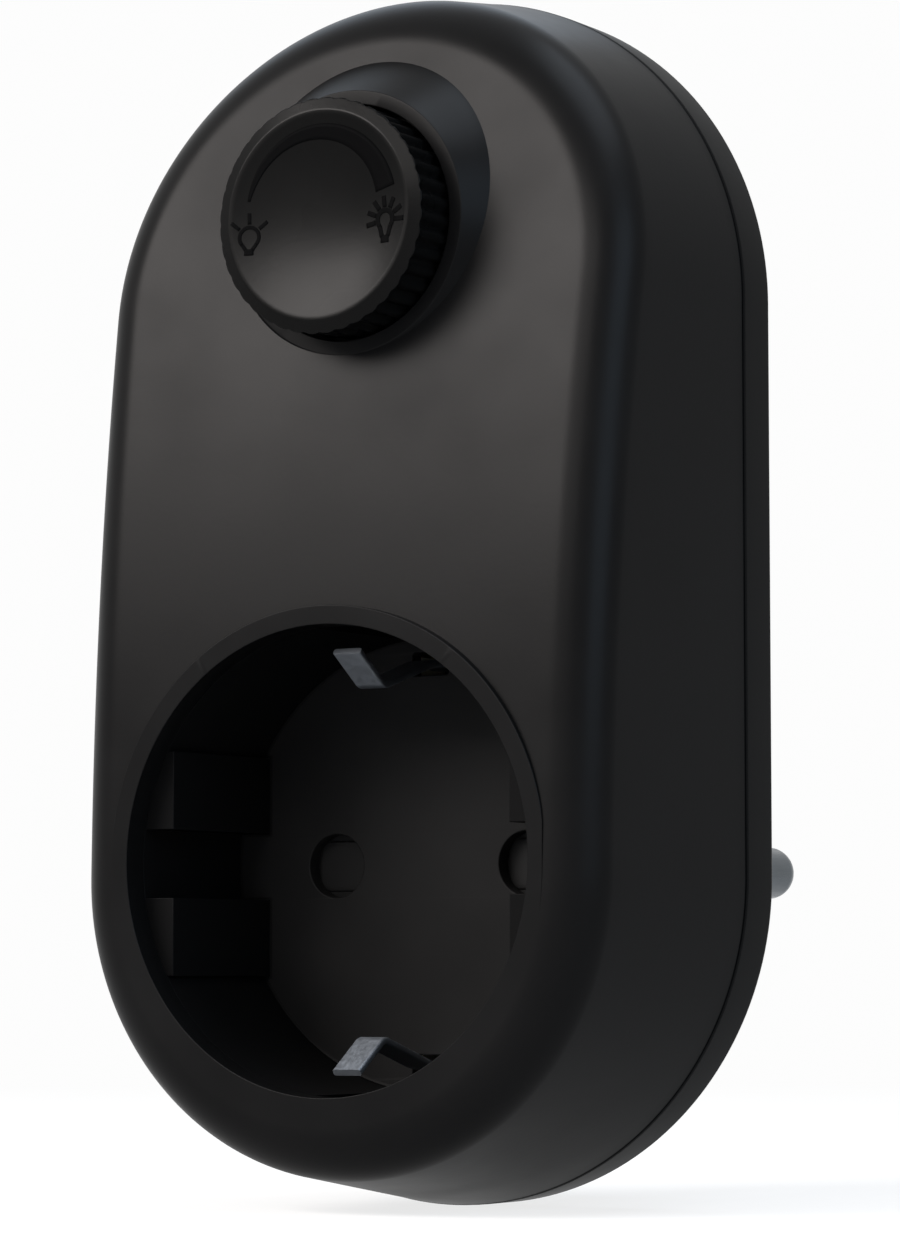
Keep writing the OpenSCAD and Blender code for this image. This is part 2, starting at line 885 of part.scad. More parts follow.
// Fluted knob with a bevelled rim and a dished face
module dimmer_knob() color(black) place() translate([0, knob_axis, 0]) {
    face_r = knob_r - knob_bevel;
    dish_steps = 6;
    dish_line = [
        for (i = [0 : dish_steps])
            let (x = face_r * i / dish_steps)
            [x, knob_front - dish * (1 - pow(x / face_r, 2))]
    ];
    difference() {
        rotate_extrude($fn = 128)
            polygon(concat(
                [[0, knob_back]],
                dish_line,
                [[knob_r, knob_front - knob_bevel / 2], [knob_r, knob_back]]
            ));
        difference() {
            disc(knob_skirt_in, knob_back - overcut, knob_roof);
            disc(hub_r, hub_back, knob_front);
        }
        disc(shaft_r + run_gap / 2, knob_back - overcut, shaft_end + 0.2);
        for (i = [0 : flutes - 1])
            rotate([0, 0, 360 * i / flutes])
                translate([knob_r + flute_r / 2, 0, 0])
                    disc(flute_r, knob_back - overcut, knob_front);
    }
}

// Level of the fuse axis, counted from the rear face
fuse_level = board_front + fuse_lift;

// A rod along y at the fuse
module fuse_rod(r, low, high) {
    translate([fuse_place[0], fuse_place[1] + low, fuse_level])
        rotate([-90, 0, 0])
            cylinder(r = r, h = high - low);
}

// Glass tube of the fuse
module fuse_tube() color(pale_grey) place()
    fuse_rod(fuse_r, -fuse_len / 2 + 0.3, fuse_len / 2 - 0.3);

// End caps of the fuse
module fuse_caps() color(steel) place() {
    for (side = [-1, 1])
        difference() {
            fuse_rod(
                fuse_r + fuse_cap_t,
                side > 0 ? fuse_len / 2 - fuse_cap_len : -fuse_len / 2,
                side > 0 ? fuse_len / 2 : -fuse_len / 2 + fuse_cap_len
            );
            fuse_rod(fuse_r + 0.01, -fuse_len / 2 + 0.3, fuse_len / 2 - 0.3);
        }
}

// Clips that hold the fuse on the board
module fuse_clips() color(brass) place() {
    clip_r = fuse_r + fuse_cap_t + 0.02;
    for (side = [-1, 1]) {
        low = side * (fuse_len / 2 - fuse_cap_len / 2) - clip_len / 2;
        difference() {
            union() {
                fuse_rod(clip_r + clip_wall, low, low + clip_len);
                translate([fuse_place[0] - clip_r - clip_wall, fuse_place[1] + low, board_front])
                    cube([2 * (clip_r + clip_wall), clip_len, fuse_lift]);
            }
            fuse_rod(clip_r, low - overcut, low + clip_len + overcut);
            translate([fuse_place[0] - clip_r, fuse_place[1] + low - overcut, fuse_level + clip_r / 2])
                cube([2 * clip_r, clip_len + 2 * overcut, 2 * clip_r]);
        }
    }
}

// Ring core of the interference choke
module choke_core() color(dark_grey) place() translate([choke_place[0], choke_place[1], board_front]) {
    rotate_extrude()
        translate([choke_hole + choke_wire, choke_wire])
            square([choke_r - choke_hole - 2 * choke_wire, choke_h - 2 * choke_wire]);
}

// Winding around the core, as one sleeve with a gap between its ends
module choke_winding() color(copper) place() translate([choke_place[0], choke_place[1], board_front]) {
    rotate_extrude(angle = 300)
        difference() {
            translate([choke_hole, 0])
                square([choke_r - choke_hole, choke_h]);
            translate([choke_hole + choke_wire - run_gap, choke_wire - run_gap])
                square([
                    choke_r - choke_hole - 2 * choke_wire + 2 * run_gap,
                    choke_h - 2 * choke_wire + 2 * run_gap
                ]);
        }
}

// Film capacitor
module film_capacitor() color("#b5732e") place()
    translate([film_place[0], film_place[1], board_front])
        cube(film_size);

// Timing capacitor in a can
module electrolytic_capacitor() color("#26314a") place()
    translate([can_place[0], can_place[1], board_front])
        cylinder(r = can_r, h = can_h);

// Aluminium heat spreader under the triac
module heat_sink() color("#a9adb2") place()
    translate([sink_place[0], sink_place[1], board_front])
        cube(sink_size);

// Triac lying on the heat spreader, with its three leads
module triac() color(dark_grey) place() {
    left = sink_place[0] + (sink_size[0] - triac_size[0]) / 2;
    low = sink_place[1] + 2;
    base = board_front + sink_size[2];
    translate([left, low, base])
        cube(triac_size);
    for (i = [1 : 3])
        translate([left + triac_size[0] * i / 4 - triac_lead / 2, sink_place[1] - 1.4, 0]) {
            translate([0, 0, base + 1])
                cube([triac_lead, 4.4, triac_lead]);
            translate([0, 0, board_front])
                cube([triac_lead, triac_lead, sink_size[2] + 1.4]);
        }
}

// Two axial resistors standing on their bent leads
module resistors() color("#c7b08a") place() {
    lead_t = 0.6;
    for (row = resistor_rows)
        translate([resistor_x, row, board_front + resistor_r + 0.2]) {
            rotate([-90, 0, 0])
                cylinder(r = resistor_r, h = resistor_len, center = true);
            for (side = [-1, 1]) {
                translate([-lead_t / 2, side * resistor_len / 2 - 0.5, -lead_t / 2])
                    cube([lead_t, 1, lead_t]);
                translate([
                    -lead_t / 2,
                    side * (resistor_len / 2 + 0.5) - lead_t / 2,
                    -resistor_r - 0.2
                ])
                    cube([lead_t, lead_t, resistor_r + 0.2 + lead_t / 2]);
            }
        }
}

// Lead from the live pin to the board
module live_lead() color("#6b4a2f") place() lead(live_route);

// Lead from the board to the switched contact
module load_lead() color(black) place() lead(load_route);

front_shell();
rear_cover();
plug_body();
cover_screws();
socket_cup();
recess_floor();
shutter();
shutter_spring();
contact_carrier();
live_contact();
neutral_contact();
earth_strip_upper();
earth_strip_lower();
earth_link();
live_pin();
neutral_pin();
circuit_board();
board_screws();
pot_body();
pot_terminals();
pot_shaft();
pot_washer();
pot_nut();
dimmer_knob();
fuse_tube();
fuse_caps();
fuse_clips();
choke_core();
choke_winding();
film_capacitor();
electrolytic_capacitor();
triac();
heat_sink();
resistors();
live_lead();
load_lead();
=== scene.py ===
"""Looks of a plug-in dimmer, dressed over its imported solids.

The classes give lengths in bench millimetres: x to the right, y up from the socket axis and
depth forward from the rear face. to_part turns bench points into the part's frame in metres.
"""

from __future__ import annotations

import json
import logging
import math
from dataclasses import dataclass, field
from enum import Enum

import bmesh
import bpy
import numpy as np
from mathutils import Matrix, Vector
from mathutils.geometry import tessellate_polygon
from numpy.typing import NDArray

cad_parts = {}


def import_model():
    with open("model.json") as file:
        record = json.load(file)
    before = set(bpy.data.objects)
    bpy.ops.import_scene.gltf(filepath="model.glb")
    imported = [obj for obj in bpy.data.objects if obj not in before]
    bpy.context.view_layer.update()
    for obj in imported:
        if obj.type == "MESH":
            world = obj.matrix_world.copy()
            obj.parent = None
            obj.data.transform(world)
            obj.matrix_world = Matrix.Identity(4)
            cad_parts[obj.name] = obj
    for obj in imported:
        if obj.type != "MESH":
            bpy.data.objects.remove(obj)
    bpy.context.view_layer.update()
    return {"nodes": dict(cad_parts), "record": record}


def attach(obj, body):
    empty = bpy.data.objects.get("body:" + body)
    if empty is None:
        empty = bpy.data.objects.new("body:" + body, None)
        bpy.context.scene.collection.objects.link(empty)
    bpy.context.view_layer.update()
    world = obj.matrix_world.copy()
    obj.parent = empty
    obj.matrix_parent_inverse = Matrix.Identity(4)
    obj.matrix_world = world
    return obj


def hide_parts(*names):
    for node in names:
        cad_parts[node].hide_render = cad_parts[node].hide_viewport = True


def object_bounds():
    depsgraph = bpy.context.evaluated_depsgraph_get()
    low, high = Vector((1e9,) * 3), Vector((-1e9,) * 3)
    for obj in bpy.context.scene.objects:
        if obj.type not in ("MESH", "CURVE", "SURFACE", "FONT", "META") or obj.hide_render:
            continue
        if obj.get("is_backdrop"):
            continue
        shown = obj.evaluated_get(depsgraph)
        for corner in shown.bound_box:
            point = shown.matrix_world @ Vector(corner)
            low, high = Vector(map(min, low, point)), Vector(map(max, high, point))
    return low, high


Points = NDArray[np.float64]
Pair = tuple[float, float]
Colour = tuple[float, float, float]
LOG = logging.getLogger("dimmer")
MM = 0.001
WHITE = (1.0, 1.0, 1.0, 1.0)
SIDES = (-1.0, 1.0)

# Sizes that several sub-assemblies share, in millimetres
PLUG_LENGTH = 19.0
PIN_HALF_SPACING = 9.5
SOCKET_RADIUS = 19.5
SEAT_DEPTH = 24.9
HOLLOW_RADIUS = 13.8
KNOB_AXIS = 53.6

# Points closer than the first are joined, and edges shorter than the second are closed, in millimetres
JOIN_DISTANCE = 0.002
SLIVER_EDGE = 0.0005

# The noise values between which a finish goes from one end to the other
NOISE_SPAN = (0.3, 0.7)

# Steps of a large circle, of a whole recess and of a rounded corner
LARGE_STEPS = 96
RECESS_STEPS = 128
CORNER_STEPS = 7


def to_part(points: Points) -> Points:
    """Turns bench points into the part's frame: (x, -(plug length + depth), y) in metres.

    Args:
        points: any array of bench points in millimetres, with x, y and depth last.

    Returns:
        The points in metres, in the part's frame.
    """
    x, y, depth = np.moveaxis(points, -1, 0)
    return np.stack([x, -(PLUG_LENGTH + depth), y], axis=-1) * MM


def lift(flat: Points, depth: Points | float) -> Points:
    """Gives flat points their depths.

    Args:
        flat: any array of points by 2.
        depth: one depth, or depths that spread over the points' rows.

    Returns:
        The same array of points by 3.
    """
    level = np.broadcast_to(np.asarray(depth, float), flat.shape[:-1])
    return np.concatenate([flat, level[..., None]], axis=-1)


def direction(turn: Points) -> Points:
    """Gives the unit vectors (cos, sin) of some angles."""
    return np.stack([np.cos(turn), np.sin(turn)], axis=-1)


def left_normals(way: Points) -> Points:
    """Gives the unit vectors to the left of some vectors: (-y, x) over their length."""
    left = np.stack([-way[:, 1], way[:, 0]], axis=-1)
    return left / np.linalg.norm(left, axis=1, keepdims=True)


def circle(radius: float, centre: Pair = (0.0, 0.0), steps: int = 64) -> Points:
    """Gives an anticlockwise circle: centre + radius (cos, sin).

    Args:
        radius: the circle's radius.
        centre: its middle.
        steps: how many points go round.

    Returns:
        A closed loop of points, steps by 2.
    """
    turn = np.linspace(0.0, 2.0 * np.pi, steps, endpoint=False)
    return direction(turn) * radius + np.array(centre)


def arc(radius: float, start: float, end: float, steps: int) -> Points:
    """Gives points on an arc about the origin, from one angle to another.

    Args:
        radius: the arc's radius.
        start: first angle in radians.
        end: last angle in radians.
        steps: how many points.

    Returns:
        The points, steps by 2.
    """
    return direction(np.linspace(start, end, steps)) * radius


def four_fold(quarter: Points) -> Points:
    """Mirrors a quarter outline, from the x axis to the y axis, into a closed loop.

    Args:
        quarter: points of the first quadrant, both ends on the axes.

    Returns:
        The whole loop, anticlockwise.
    """
    half = np.vstack([quarter, quarter[-2::-1] * (-1.0, 1.0)])
    return np.vstack([half, half[-2:0:-1] * (1.0, -1.0)])


def rounded_box(width: float, height: float, corner: float, centre: Pair) -> Points:
    """Gives a rectangle's outline with quarter circles for corners.

    Args:
        width: size along x.
        height: size along y.
        corner: corner radius.
        centre: the rectangle's middle.

    Returns:
        A closed loop, anticlockwise.
    """
    turn = arc(corner, 0.0, np.pi / 2, CORNER_STEPS) + (width / 2 - corner, height / 2 - corner)
    quarter = np.vstack([[(width / 2, 0.0)], turn, [(0.0, height / 2)]])
    return four_fold(quarter) + np.array(centre)


def inset_loop(loop: Points, distance: float) -> Points:
    """Moves a closed anticlockwise loop inwards along its mitred normals.

    Each point moves by distance times (n1 + n2) / (1 + n1 . n2), where n1 and n2 are the normals of
    the edges before and after it.

    Args:
        loop: points of the loop.
        distance: how far the edges move in; below 0 they move out.

    Returns:
        The moved loop.
    """
    normal = left_normals(np.roll(loop, -1, axis=0) - loop)
    before = np.roll(normal, 1, axis=0)
    return loop + distance * (normal + before) / (1.0 + np.sum(normal * before, axis=1, keepdims=True))


def stack_loops(loop: Points, insets: Points, depths: Points) -> Points:
    """Stacks inset copies of a loop at given depths into a grid.

    Args:
        loop: the closed loop.
        insets: how far each copy moves in.
        depths: each copy's depth.

    Returns:
        A grid of loop points by copies by 3.
    """
    return lift(np.stack([inset_loop(loop, inset) for inset in insets], axis=1), depths)


def hole_wall(loop: Points, chamfer: float, mouth: float, end: float) -> Points:
    """Gives a hole's wall, with a chamfer that widens its mouth.

    Args:
        loop: the hole's outline.
        chamfer: size of the chamfer.
        mouth: depth of the mouth, behind the rest of the hole.
        end: depth of the hole's other end.

    Returns:
        A grid of loop points by 3 by 3.
    """
    return stack_loops(loop, [-chamfer, 0.0, 0.0], [mouth, mouth + chamfer, end])


def edge_turn(radius: float, steps: int = 5) -> tuple[Points, Points]:
    """Gives a quarter round: insets radius (1 - cos) and drops radius (1 - sin), wall first.

    Args:
        radius: the round's radius.
        steps: how many points.

    Returns:
        Insets and drops, from the wall to the face.
    """
    turn = np.linspace(0.0, np.pi / 2, steps)
    return radius * (1.0 - np.cos(turn)), radius * (1.0 - np.sin(turn))


class NodeKit:
    """Adds and joins the nodes of one material."""

    def __init__(self, name: str) -> None:
        """Starts a material that has an output and the piece's own coordinates.

        Args:
            name: the material's name.
        """
        self.material = bpy.data.materials.new(name)
        self.material.use_nodes = True
        self.tree = self.material.node_tree
        self.tree.nodes.clear()
        self.output = self.tree.nodes.new("ShaderNodeOutputMaterial")
        self.place = self.tree.nodes.new("ShaderNodeTexCoord").outputs["Object"]

    def add(self, kind: str, **inputs: object) -> bpy.types.Node:
        """Adds a node and sets or links its inputs.

        Args:
            kind: the node's type name.
            inputs: values or sockets by input name, with _ for a space.

        Returns:
            The new node.
        """
        node = self.tree.nodes.new(kind)
        for name, value in inputs.items():
            socket = node.inputs[name.replace("_", " ")]
            if isinstance(value, bpy.types.NodeSocket):
                self.tree.links.new(value, socket)
            else:
                socket.default_value = value
        return node

    def noise(
        self, scale: float, stretch: Colour = (1.0, 1.0, 1.0), detail: float = 3.0
    ) -> bpy.types.NodeSocket:
        """Adds noise on the piece's own coordinates.

        Args:
            scale: noise cells a metre.
            stretch: scale along each axis, for brushed or drawn surfaces.
            detail: octaves of finer noise.

        Returns:
            The noise's value, about 0 to 1.
        """
        mapped = self.add("ShaderNodeMapping", Vector=self.place, Scale=stretch).outputs["Vector"]
        return self.add("ShaderNodeTexNoise", Vector=mapped, Scale=scale, Detail=detail).outputs[0]

    def ramp(self, value: bpy.types.NodeSocket, low: Colour, high: Colour) -> bpy.types.NodeSocket:
        """Turns a value into a colour between two colours.

        Args:
            value: the driving value.
            low: colour at the low end of the noise span.
            high: colour at its high end.

        Returns:
            The colour socket.
        """
        node = self.add("ShaderNodeValToRGB", Fac=value)
        for stop, place, colour in zip(node.color_ramp.elements, NOISE_SPAN, (low, high)):
            stop.position = place
            stop.color = (*colour, 1.0)
        return node.outputs["Color"]

    def remap(self, value: bpy.types.NodeSocket, span: Pair, onto: Pair) -> bpy.types.NodeSocket:
        """Maps a value of one span onto another.

        Args:
            value: the driving value.
            span: the low and the high end of the value.
            onto: what these ends become.

        Returns:
            The mapped value's socket.
        """
        node = self.add("ShaderNodeMapRange", Value=value)
        names = ("From Min", "From Max", "To Min", "To Max")
        for name, number in zip(names, (*span, *onto)):
            node.inputs[name].default_value = number
        return node.outputs["Result"]

    def bump(self, value: bpy.types.NodeSocket, distance: float, strength: float) -> bpy.types.NodeSocket:
        """Turns a value into a bumped normal of that distance in metres."""
        node = self.add("ShaderNodeBump", Height=value, Distance=distance, Strength=strength)
        return node.outputs["Normal"]


@dataclass(frozen=True)
class Finish:
    """What all finishes share: a name, a colour with some variation, and a roughness."""

    name: str
    colour: Colour
    roughness: float
    colour_spread: float = 0.12
    rough_spread: float = 0.05
    specular: float = 0.5

    def shades(self) -> tuple[Colour, Colour]:
        """Gives the colour a little darker and a little lighter.

        Returns:
            The two colours, the darker one first.
        """
        low = tuple(channel * (1.0 - self.colour_spread) for channel in self.colour)
        high = tuple(channel * (1.0 + self.colour_spread) for channel in self.colour)
        return low, high

    def rough_ends(self) -> Pair:
        """Gives the roughness of the glossiest and of the dullest places."""
        return self.roughness - self.rough_spread, self.roughness + self.rough_spread

    def material(self) -> bpy.types.Material:
        """Gives the finish's material, made the first time it is asked for.

        Returns:
            The material.
        """
        title = f"{self.name}_finish"
        made = bpy.data.materials.get(title)
        if made is not None:
            return made
        kit = NodeKit(title)
        shader = self.shader(kit)
        kit.tree.links.new(shader.outputs["BSDF"], kit.output.inputs["Surface"])
        return kit.material

    def shader(self, kit: NodeKit) -> bpy.types.Node:
        """Wires the finish's shader; each kind of finish has its own."""
        raise NotImplementedError


@dataclass(frozen=True)
class MouldedPlastic(Finish):
    """Moulded plastic: a fine spark-eroded grain, slow patches of gloss, a faint colour drift."""

    grain: float = 2600.0
    grain_detail: float = 2.0
    grain_depth: float = 0.000012
    grain_strength: float = 0.35
    patch: float = 70.0
    patch_detail: float = 4.0

    def shader(self, kit: NodeKit) -> bpy.types.Node:
        """Wires fine noise to the bump and slow noise to colour and roughness.

        Args:
            kit: the material's nodes.

        Returns:
            The shader.
        """
        slow = kit.noise(self.patch, detail=self.patch_detail)
        fine = kit.noise(self.grain, detail=self.grain_detail)
        shader = kit.add(
            "ShaderNodeBsdfPrincipled",
            Base_Color=kit.ramp(slow, *self.shades()),
            Roughness=kit.remap(slow, NOISE_SPAN, self.rough_ends()),
            Normal=kit.bump(fine, self.grain_depth, self.grain_strength),
        )
        shader.inputs["Specular IOR Level"].default_value = self.specular
        return shader


@dataclass(frozen=True)
class WorkedMetal(Finish):
    """Metal with drawing or brushing lines along one axis and patches of tarnish."""

    lines: Colour = (1.0, 0.06, 1.0)
    line_scale: float = 3500.0
    line_detail: float = 2.0
    line_depth: float = 0.000006
    line_strength: float = 0.5
    tarnish: float = 160.0
    tarnish_detail: float = 5.0

    def shader(self, kit: NodeKit) -> bpy.types.Node:
        """Wires stretched noise to the bump and roughness, and slow noise to the tarnish.

        Args:
            kit: the material's nodes.

        Returns:
            The shader.
        """
        line = kit.noise(self.line_scale, self.lines, self.line_detail)
        slow = kit.noise(self.tarnish, detail=self.tarnish_detail)
        return kit.add(
            "ShaderNodeBsdfPrincipled",
            Base_Color=kit.ramp(slow, *self.shades()),
            Metallic=1.0,
            Roughness=kit.remap(line, NOISE_SPAN, self.rough_ends()),
            Normal=kit.bump(line, self.line_depth, self.line_strength),
        )


@dataclass(frozen=True)
class BandedCoat(Finish):
    """Lacquer, sleeve or winding: rings of a second colour along one axis, under a thin gloss."""

    second: Colour = (0.1, 0.1, 0.1)
    pitch: float = 400.0
    axis: str = "X"
    waver: float = 0.6
    patch: float = 300.0
    band_depth: float = 0.00003
    band_strength: float = 0.4

    def shader(self, kit: NodeKit) -> bpy.types.Node:
        """Wires bands to colour and bump, broken up by noise in the roughness.

        Args:
            kit: the material's nodes.

        Returns:
            The shader.
        """
        wave = kit.add("ShaderNodeTexWave", Vector=kit.place, Scale=self.pitch, Distortion=self.waver)
        wave.bands_direction = self.axis
        band = wave.outputs["Fac"]
        slow = kit.noise(self.patch)
        shader = kit.add(
            "ShaderNodeBsdfPrincipled",
            Base_Color=kit.ramp(band, self.colour, self.second),
            Roughness=kit.remap(slow, NOISE_SPAN, self.rough_ends()),
            Normal=kit.bump(band, self.band_depth, self.band_strength),
        )
        shader.inputs["Specular IOR Level"].default_value = self.specular
        return shader


@dataclass(frozen=True)
class ClearTube(Finish):
    """Glass tube: see-through, with faint ripples along its length."""

    ripples: Colour = (0.2, 1.0, 1.0)
    ripple_scale: float = 400.0
    ripple_depth: float = 0.00001
    ripple_strength: float = 0.2
    clearness: float = 0.92
    refraction: float = 1.5

    def shader(self, kit: NodeKit) -> bpy.types.Node:
        """Wires ripples to the colour, roughness and bump of a clear shader.

        Args:
            kit: the material's nodes.

        Returns:
            The shader.
        """
        ripple = kit.noise(self.ripple_scale, self.ripples)
        shader = kit.add(
            "ShaderNodeBsdfPrincipled",
            Base_Color=kit.ramp(ripple, *self.shades()),
            Roughness=kit.remap(ripple, NOISE_SPAN, (self.roughness, self.roughness + self.rough_spread)),
            Normal=kit.bump(ripple, self.ripple_depth, self.ripple_strength),
        )
        shader.inputs["Transmission Weight"].default_value = self.clearness
        shader.inputs["IOR"].default_value = self.refraction
        return shader


class Look(Enum):
    """The finishes of the part, most of them named after the record's material slots."""

    black_plastic = MouldedPlastic("housing_black", (0.0026, 0.0026, 0.0027), 0.36, specular=0.046)
    cover_plastic = MouldedPlastic("cover_black", (0.0024, 0.0025, 0.0026), 0.36, specular=0.019)
    cup_plastic = MouldedPlastic("recess_black", (0.0058, 0.0058, 0.0059), 0.42, specular=0.035)
    # Painted shade: a darker copy of the recess plastic for the recess walls, standing in for the shade
    # that falls on them
    cup_wall = MouldedPlastic("recess_wall_painted_shade", (0.0024, 0.0024, 0.0025), 0.40, specular=0.022)
    knob_plastic = MouldedPlastic("knob_black", (0.0020, 0.0020, 0.0020), 0.27, specular=0.042)
    shutter_plastic = MouldedPlastic("shutter_black", (0.0072, 0.0072, 0.0073), 0.40, specular=0.045)
    carrier_plastic = MouldedPlastic("carrier_ivory", (0.62, 0.58, 0.47), 0.5)
    screw_steel = WorkedMetal("screw_zinc", (0.55, 0.56, 0.58), 0.32)
    spring_steel = WorkedMetal("spring_wire", (0.42, 0.43, 0.45), 0.28)
    earth_steel = WorkedMetal("earth_strip", (0.27, 0.295, 0.33), 0.50)
    # Painted dark reflection: the pin metal is darkened far below bright nickel, standing in for the dark
    # surroundings that it reflects
    pin_nickel = WorkedMetal("pin_nickel", (0.066, 0.078, 0.088), 0.30)
    contact_brass = WorkedMetal("contact_brass", (0.72, 0.55, 0.24), 0.3)
    tinned_metal = WorkedMetal("tinned_sheet", (0.66, 0.67, 0.68), 0.35)
    sink_aluminium = WorkedMetal("rolled_aluminium", (0.74, 0.75, 0.76), 0.4)
    pot_case = WorkedMetal("potentiometer_can", (0.50, 0.50, 0.51), 0.38)
    board_laminate = BandedCoat(
        "board_laminate", (0.03, 0.16, 0.07), 0.45, second=(0.05, 0.22, 0.10), pitch=900.0
    )
    fuse_glass = ClearTube("fuse_glass", (0.93, 0.96, 0.95), 0.03)
    ferrite = MouldedPlastic("ferrite_core", (0.035, 0.035, 0.037), 0.62, grain=1500.0, grain_depth=0.00003)
    enamelled_wire = BandedCoat(
        "enamelled_copper", (0.30, 0.10, 0.03), 0.25, second=(0.55, 0.20, 0.07), pitch=700.0
    )
    film_case = MouldedPlastic("film_case", (0.42, 0.27, 0.03), 0.38)
    can_sleeve = BandedCoat(
        "can_sleeve", (0.02, 0.03, 0.08), 0.3, second=(0.03, 0.045, 0.11), pitch=120.0, axis="Z"
    )
    chip_resin = MouldedPlastic("chip_resin", (0.02, 0.02, 0.021), 0.55)
    resistor_lacquer = BandedCoat(
        "resistor_lacquer", (0.55, 0.42, 0.26), 0.35, second=(0.25, 0.10, 0.05), pitch=260.0
    )
    brown_insulation = MouldedPlastic("brown_insulation", (0.13, 0.055, 0.025), 0.42)
    black_insulation = MouldedPlastic("black_insulation", (0.02, 0.02, 0.02), 0.42)
    sign_ink = MouldedPlastic("sign_ink", (0.0018, 0.0018, 0.0019), 0.50, specular=0.004)


class Sheetwork:
    """Collects grids and flat fills on the bench and joins them into one mesh."""

    def __init__(self) -> None:
        """Starts with no surfaces."""
        self._points: list[Points] = []
        self._faces: list[list[int]] = []
        self._count = 0

    def _take(self, points: Points, faces: NDArray[np.int64]) -> None:
        """Keeps a surface's points, and its faces numbered after those kept before.

        Args:
            points: bench points by 3.
            faces: point numbers of each face.
        """
        self._points.append(points)
        self._faces.extend((faces + self._count).tolist())
        self._count += len(points)

    def grid(self, points: Points, around: bool = True) -> None:
        """Adds a grid surface of quads.

        Args:
            points: rows by columns by 3 bench points.
            around: whether the last row joins the first.
        """
        rows, columns = points.shape[:2]
        index = np.arange(rows * columns).reshape(rows, columns)
        near = index if around else index[:-1]
        far = np.roll(index, -1, axis=0) if around else index[1:]
        quads = np.stack([near[:, :-1], far[:, :-1], far[:, 1:], near[:, 1:]], axis=-1)
        self._take(points.reshape(-1, 3), quads.reshape(-1, 4))

    def fill(self, depth: float, *loops: Points) -> None:
        """Adds a flat face inside the first loop, with the other loops as holes in it.

        Args:
            depth: the face's depth.
            loops: closed loops of points by 2.
        """
        triangles = tessellate_polygon([list(map(Vector, loop.tolist())) for loop in loops])
        self._take(lift(np.vstack(loops), depth), np.array(triangles))

    def piece(
        self, name: str, look: Look, sharp: float = 32.0, thickness: float = 0.0
    ) -> bpy.types.Object:
        """Closes the seams, turns the faces outwards and makes the object.

        Args:
            name: the piece's name.
            look: its finish.
            sharp: edges of more than this angle in degrees stay crisp.
            thickness: wall thickness in millimetres given to an open surface, inwards.

        Returns:
            The new object.
        """
        mesh = bpy.data.meshes.new(name)
        mesh.from_pydata(to_part(np.vstack(self._points)).tolist(), [], self._faces)
        work = bmesh.new()
        work.from_mesh(mesh)
        bmesh.ops.remove_doubles(work, verts=work.verts, dist=JOIN_DISTANCE * MM)
        bmesh.ops.dissolve_degenerate(work, edges=work.edges, dist=SLIVER_EDGE * MM)
        bmesh.ops.recalc_face_normals(work, faces=work.faces)
        work.to_mesh(mesh)
        work.free()
        mesh.shade_smooth()
        mesh.set_sharp_from_angle(angle=math.radians(sharp))
        mesh.materials.append(look.value.material())
        made = bpy.data.objects.new(name, mesh)
        bpy.context.scene.collection.objects.link(made)
        if thickness > 0.0:
            wall = made.modifiers.new("wall", "SOLIDIFY")
            wall.thickness = thickness * MM
            wall.offset = -1.0
        shading = made.modifiers.new("even_shading", "WEIGHTED_NORMAL")
        shading.keep_sharp = True
        LOG.info("%s: %d points, %s", name, len(mesh.vertices), look.name)
        return made


def fit_piece(piece: bpy.types.Object, body: str, slot: Look, *nodes: str) -> None:
    """Lets a piece ride on its body and stand for its nodes.

    Args:
        piece: the new piece.
        body: the body that it moves with.
        slot: the record's material slot; not used.
        nodes: the CAD nodes that it stands for.
    """
    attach(piece, body)
    if nodes:
        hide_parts(*nodes)


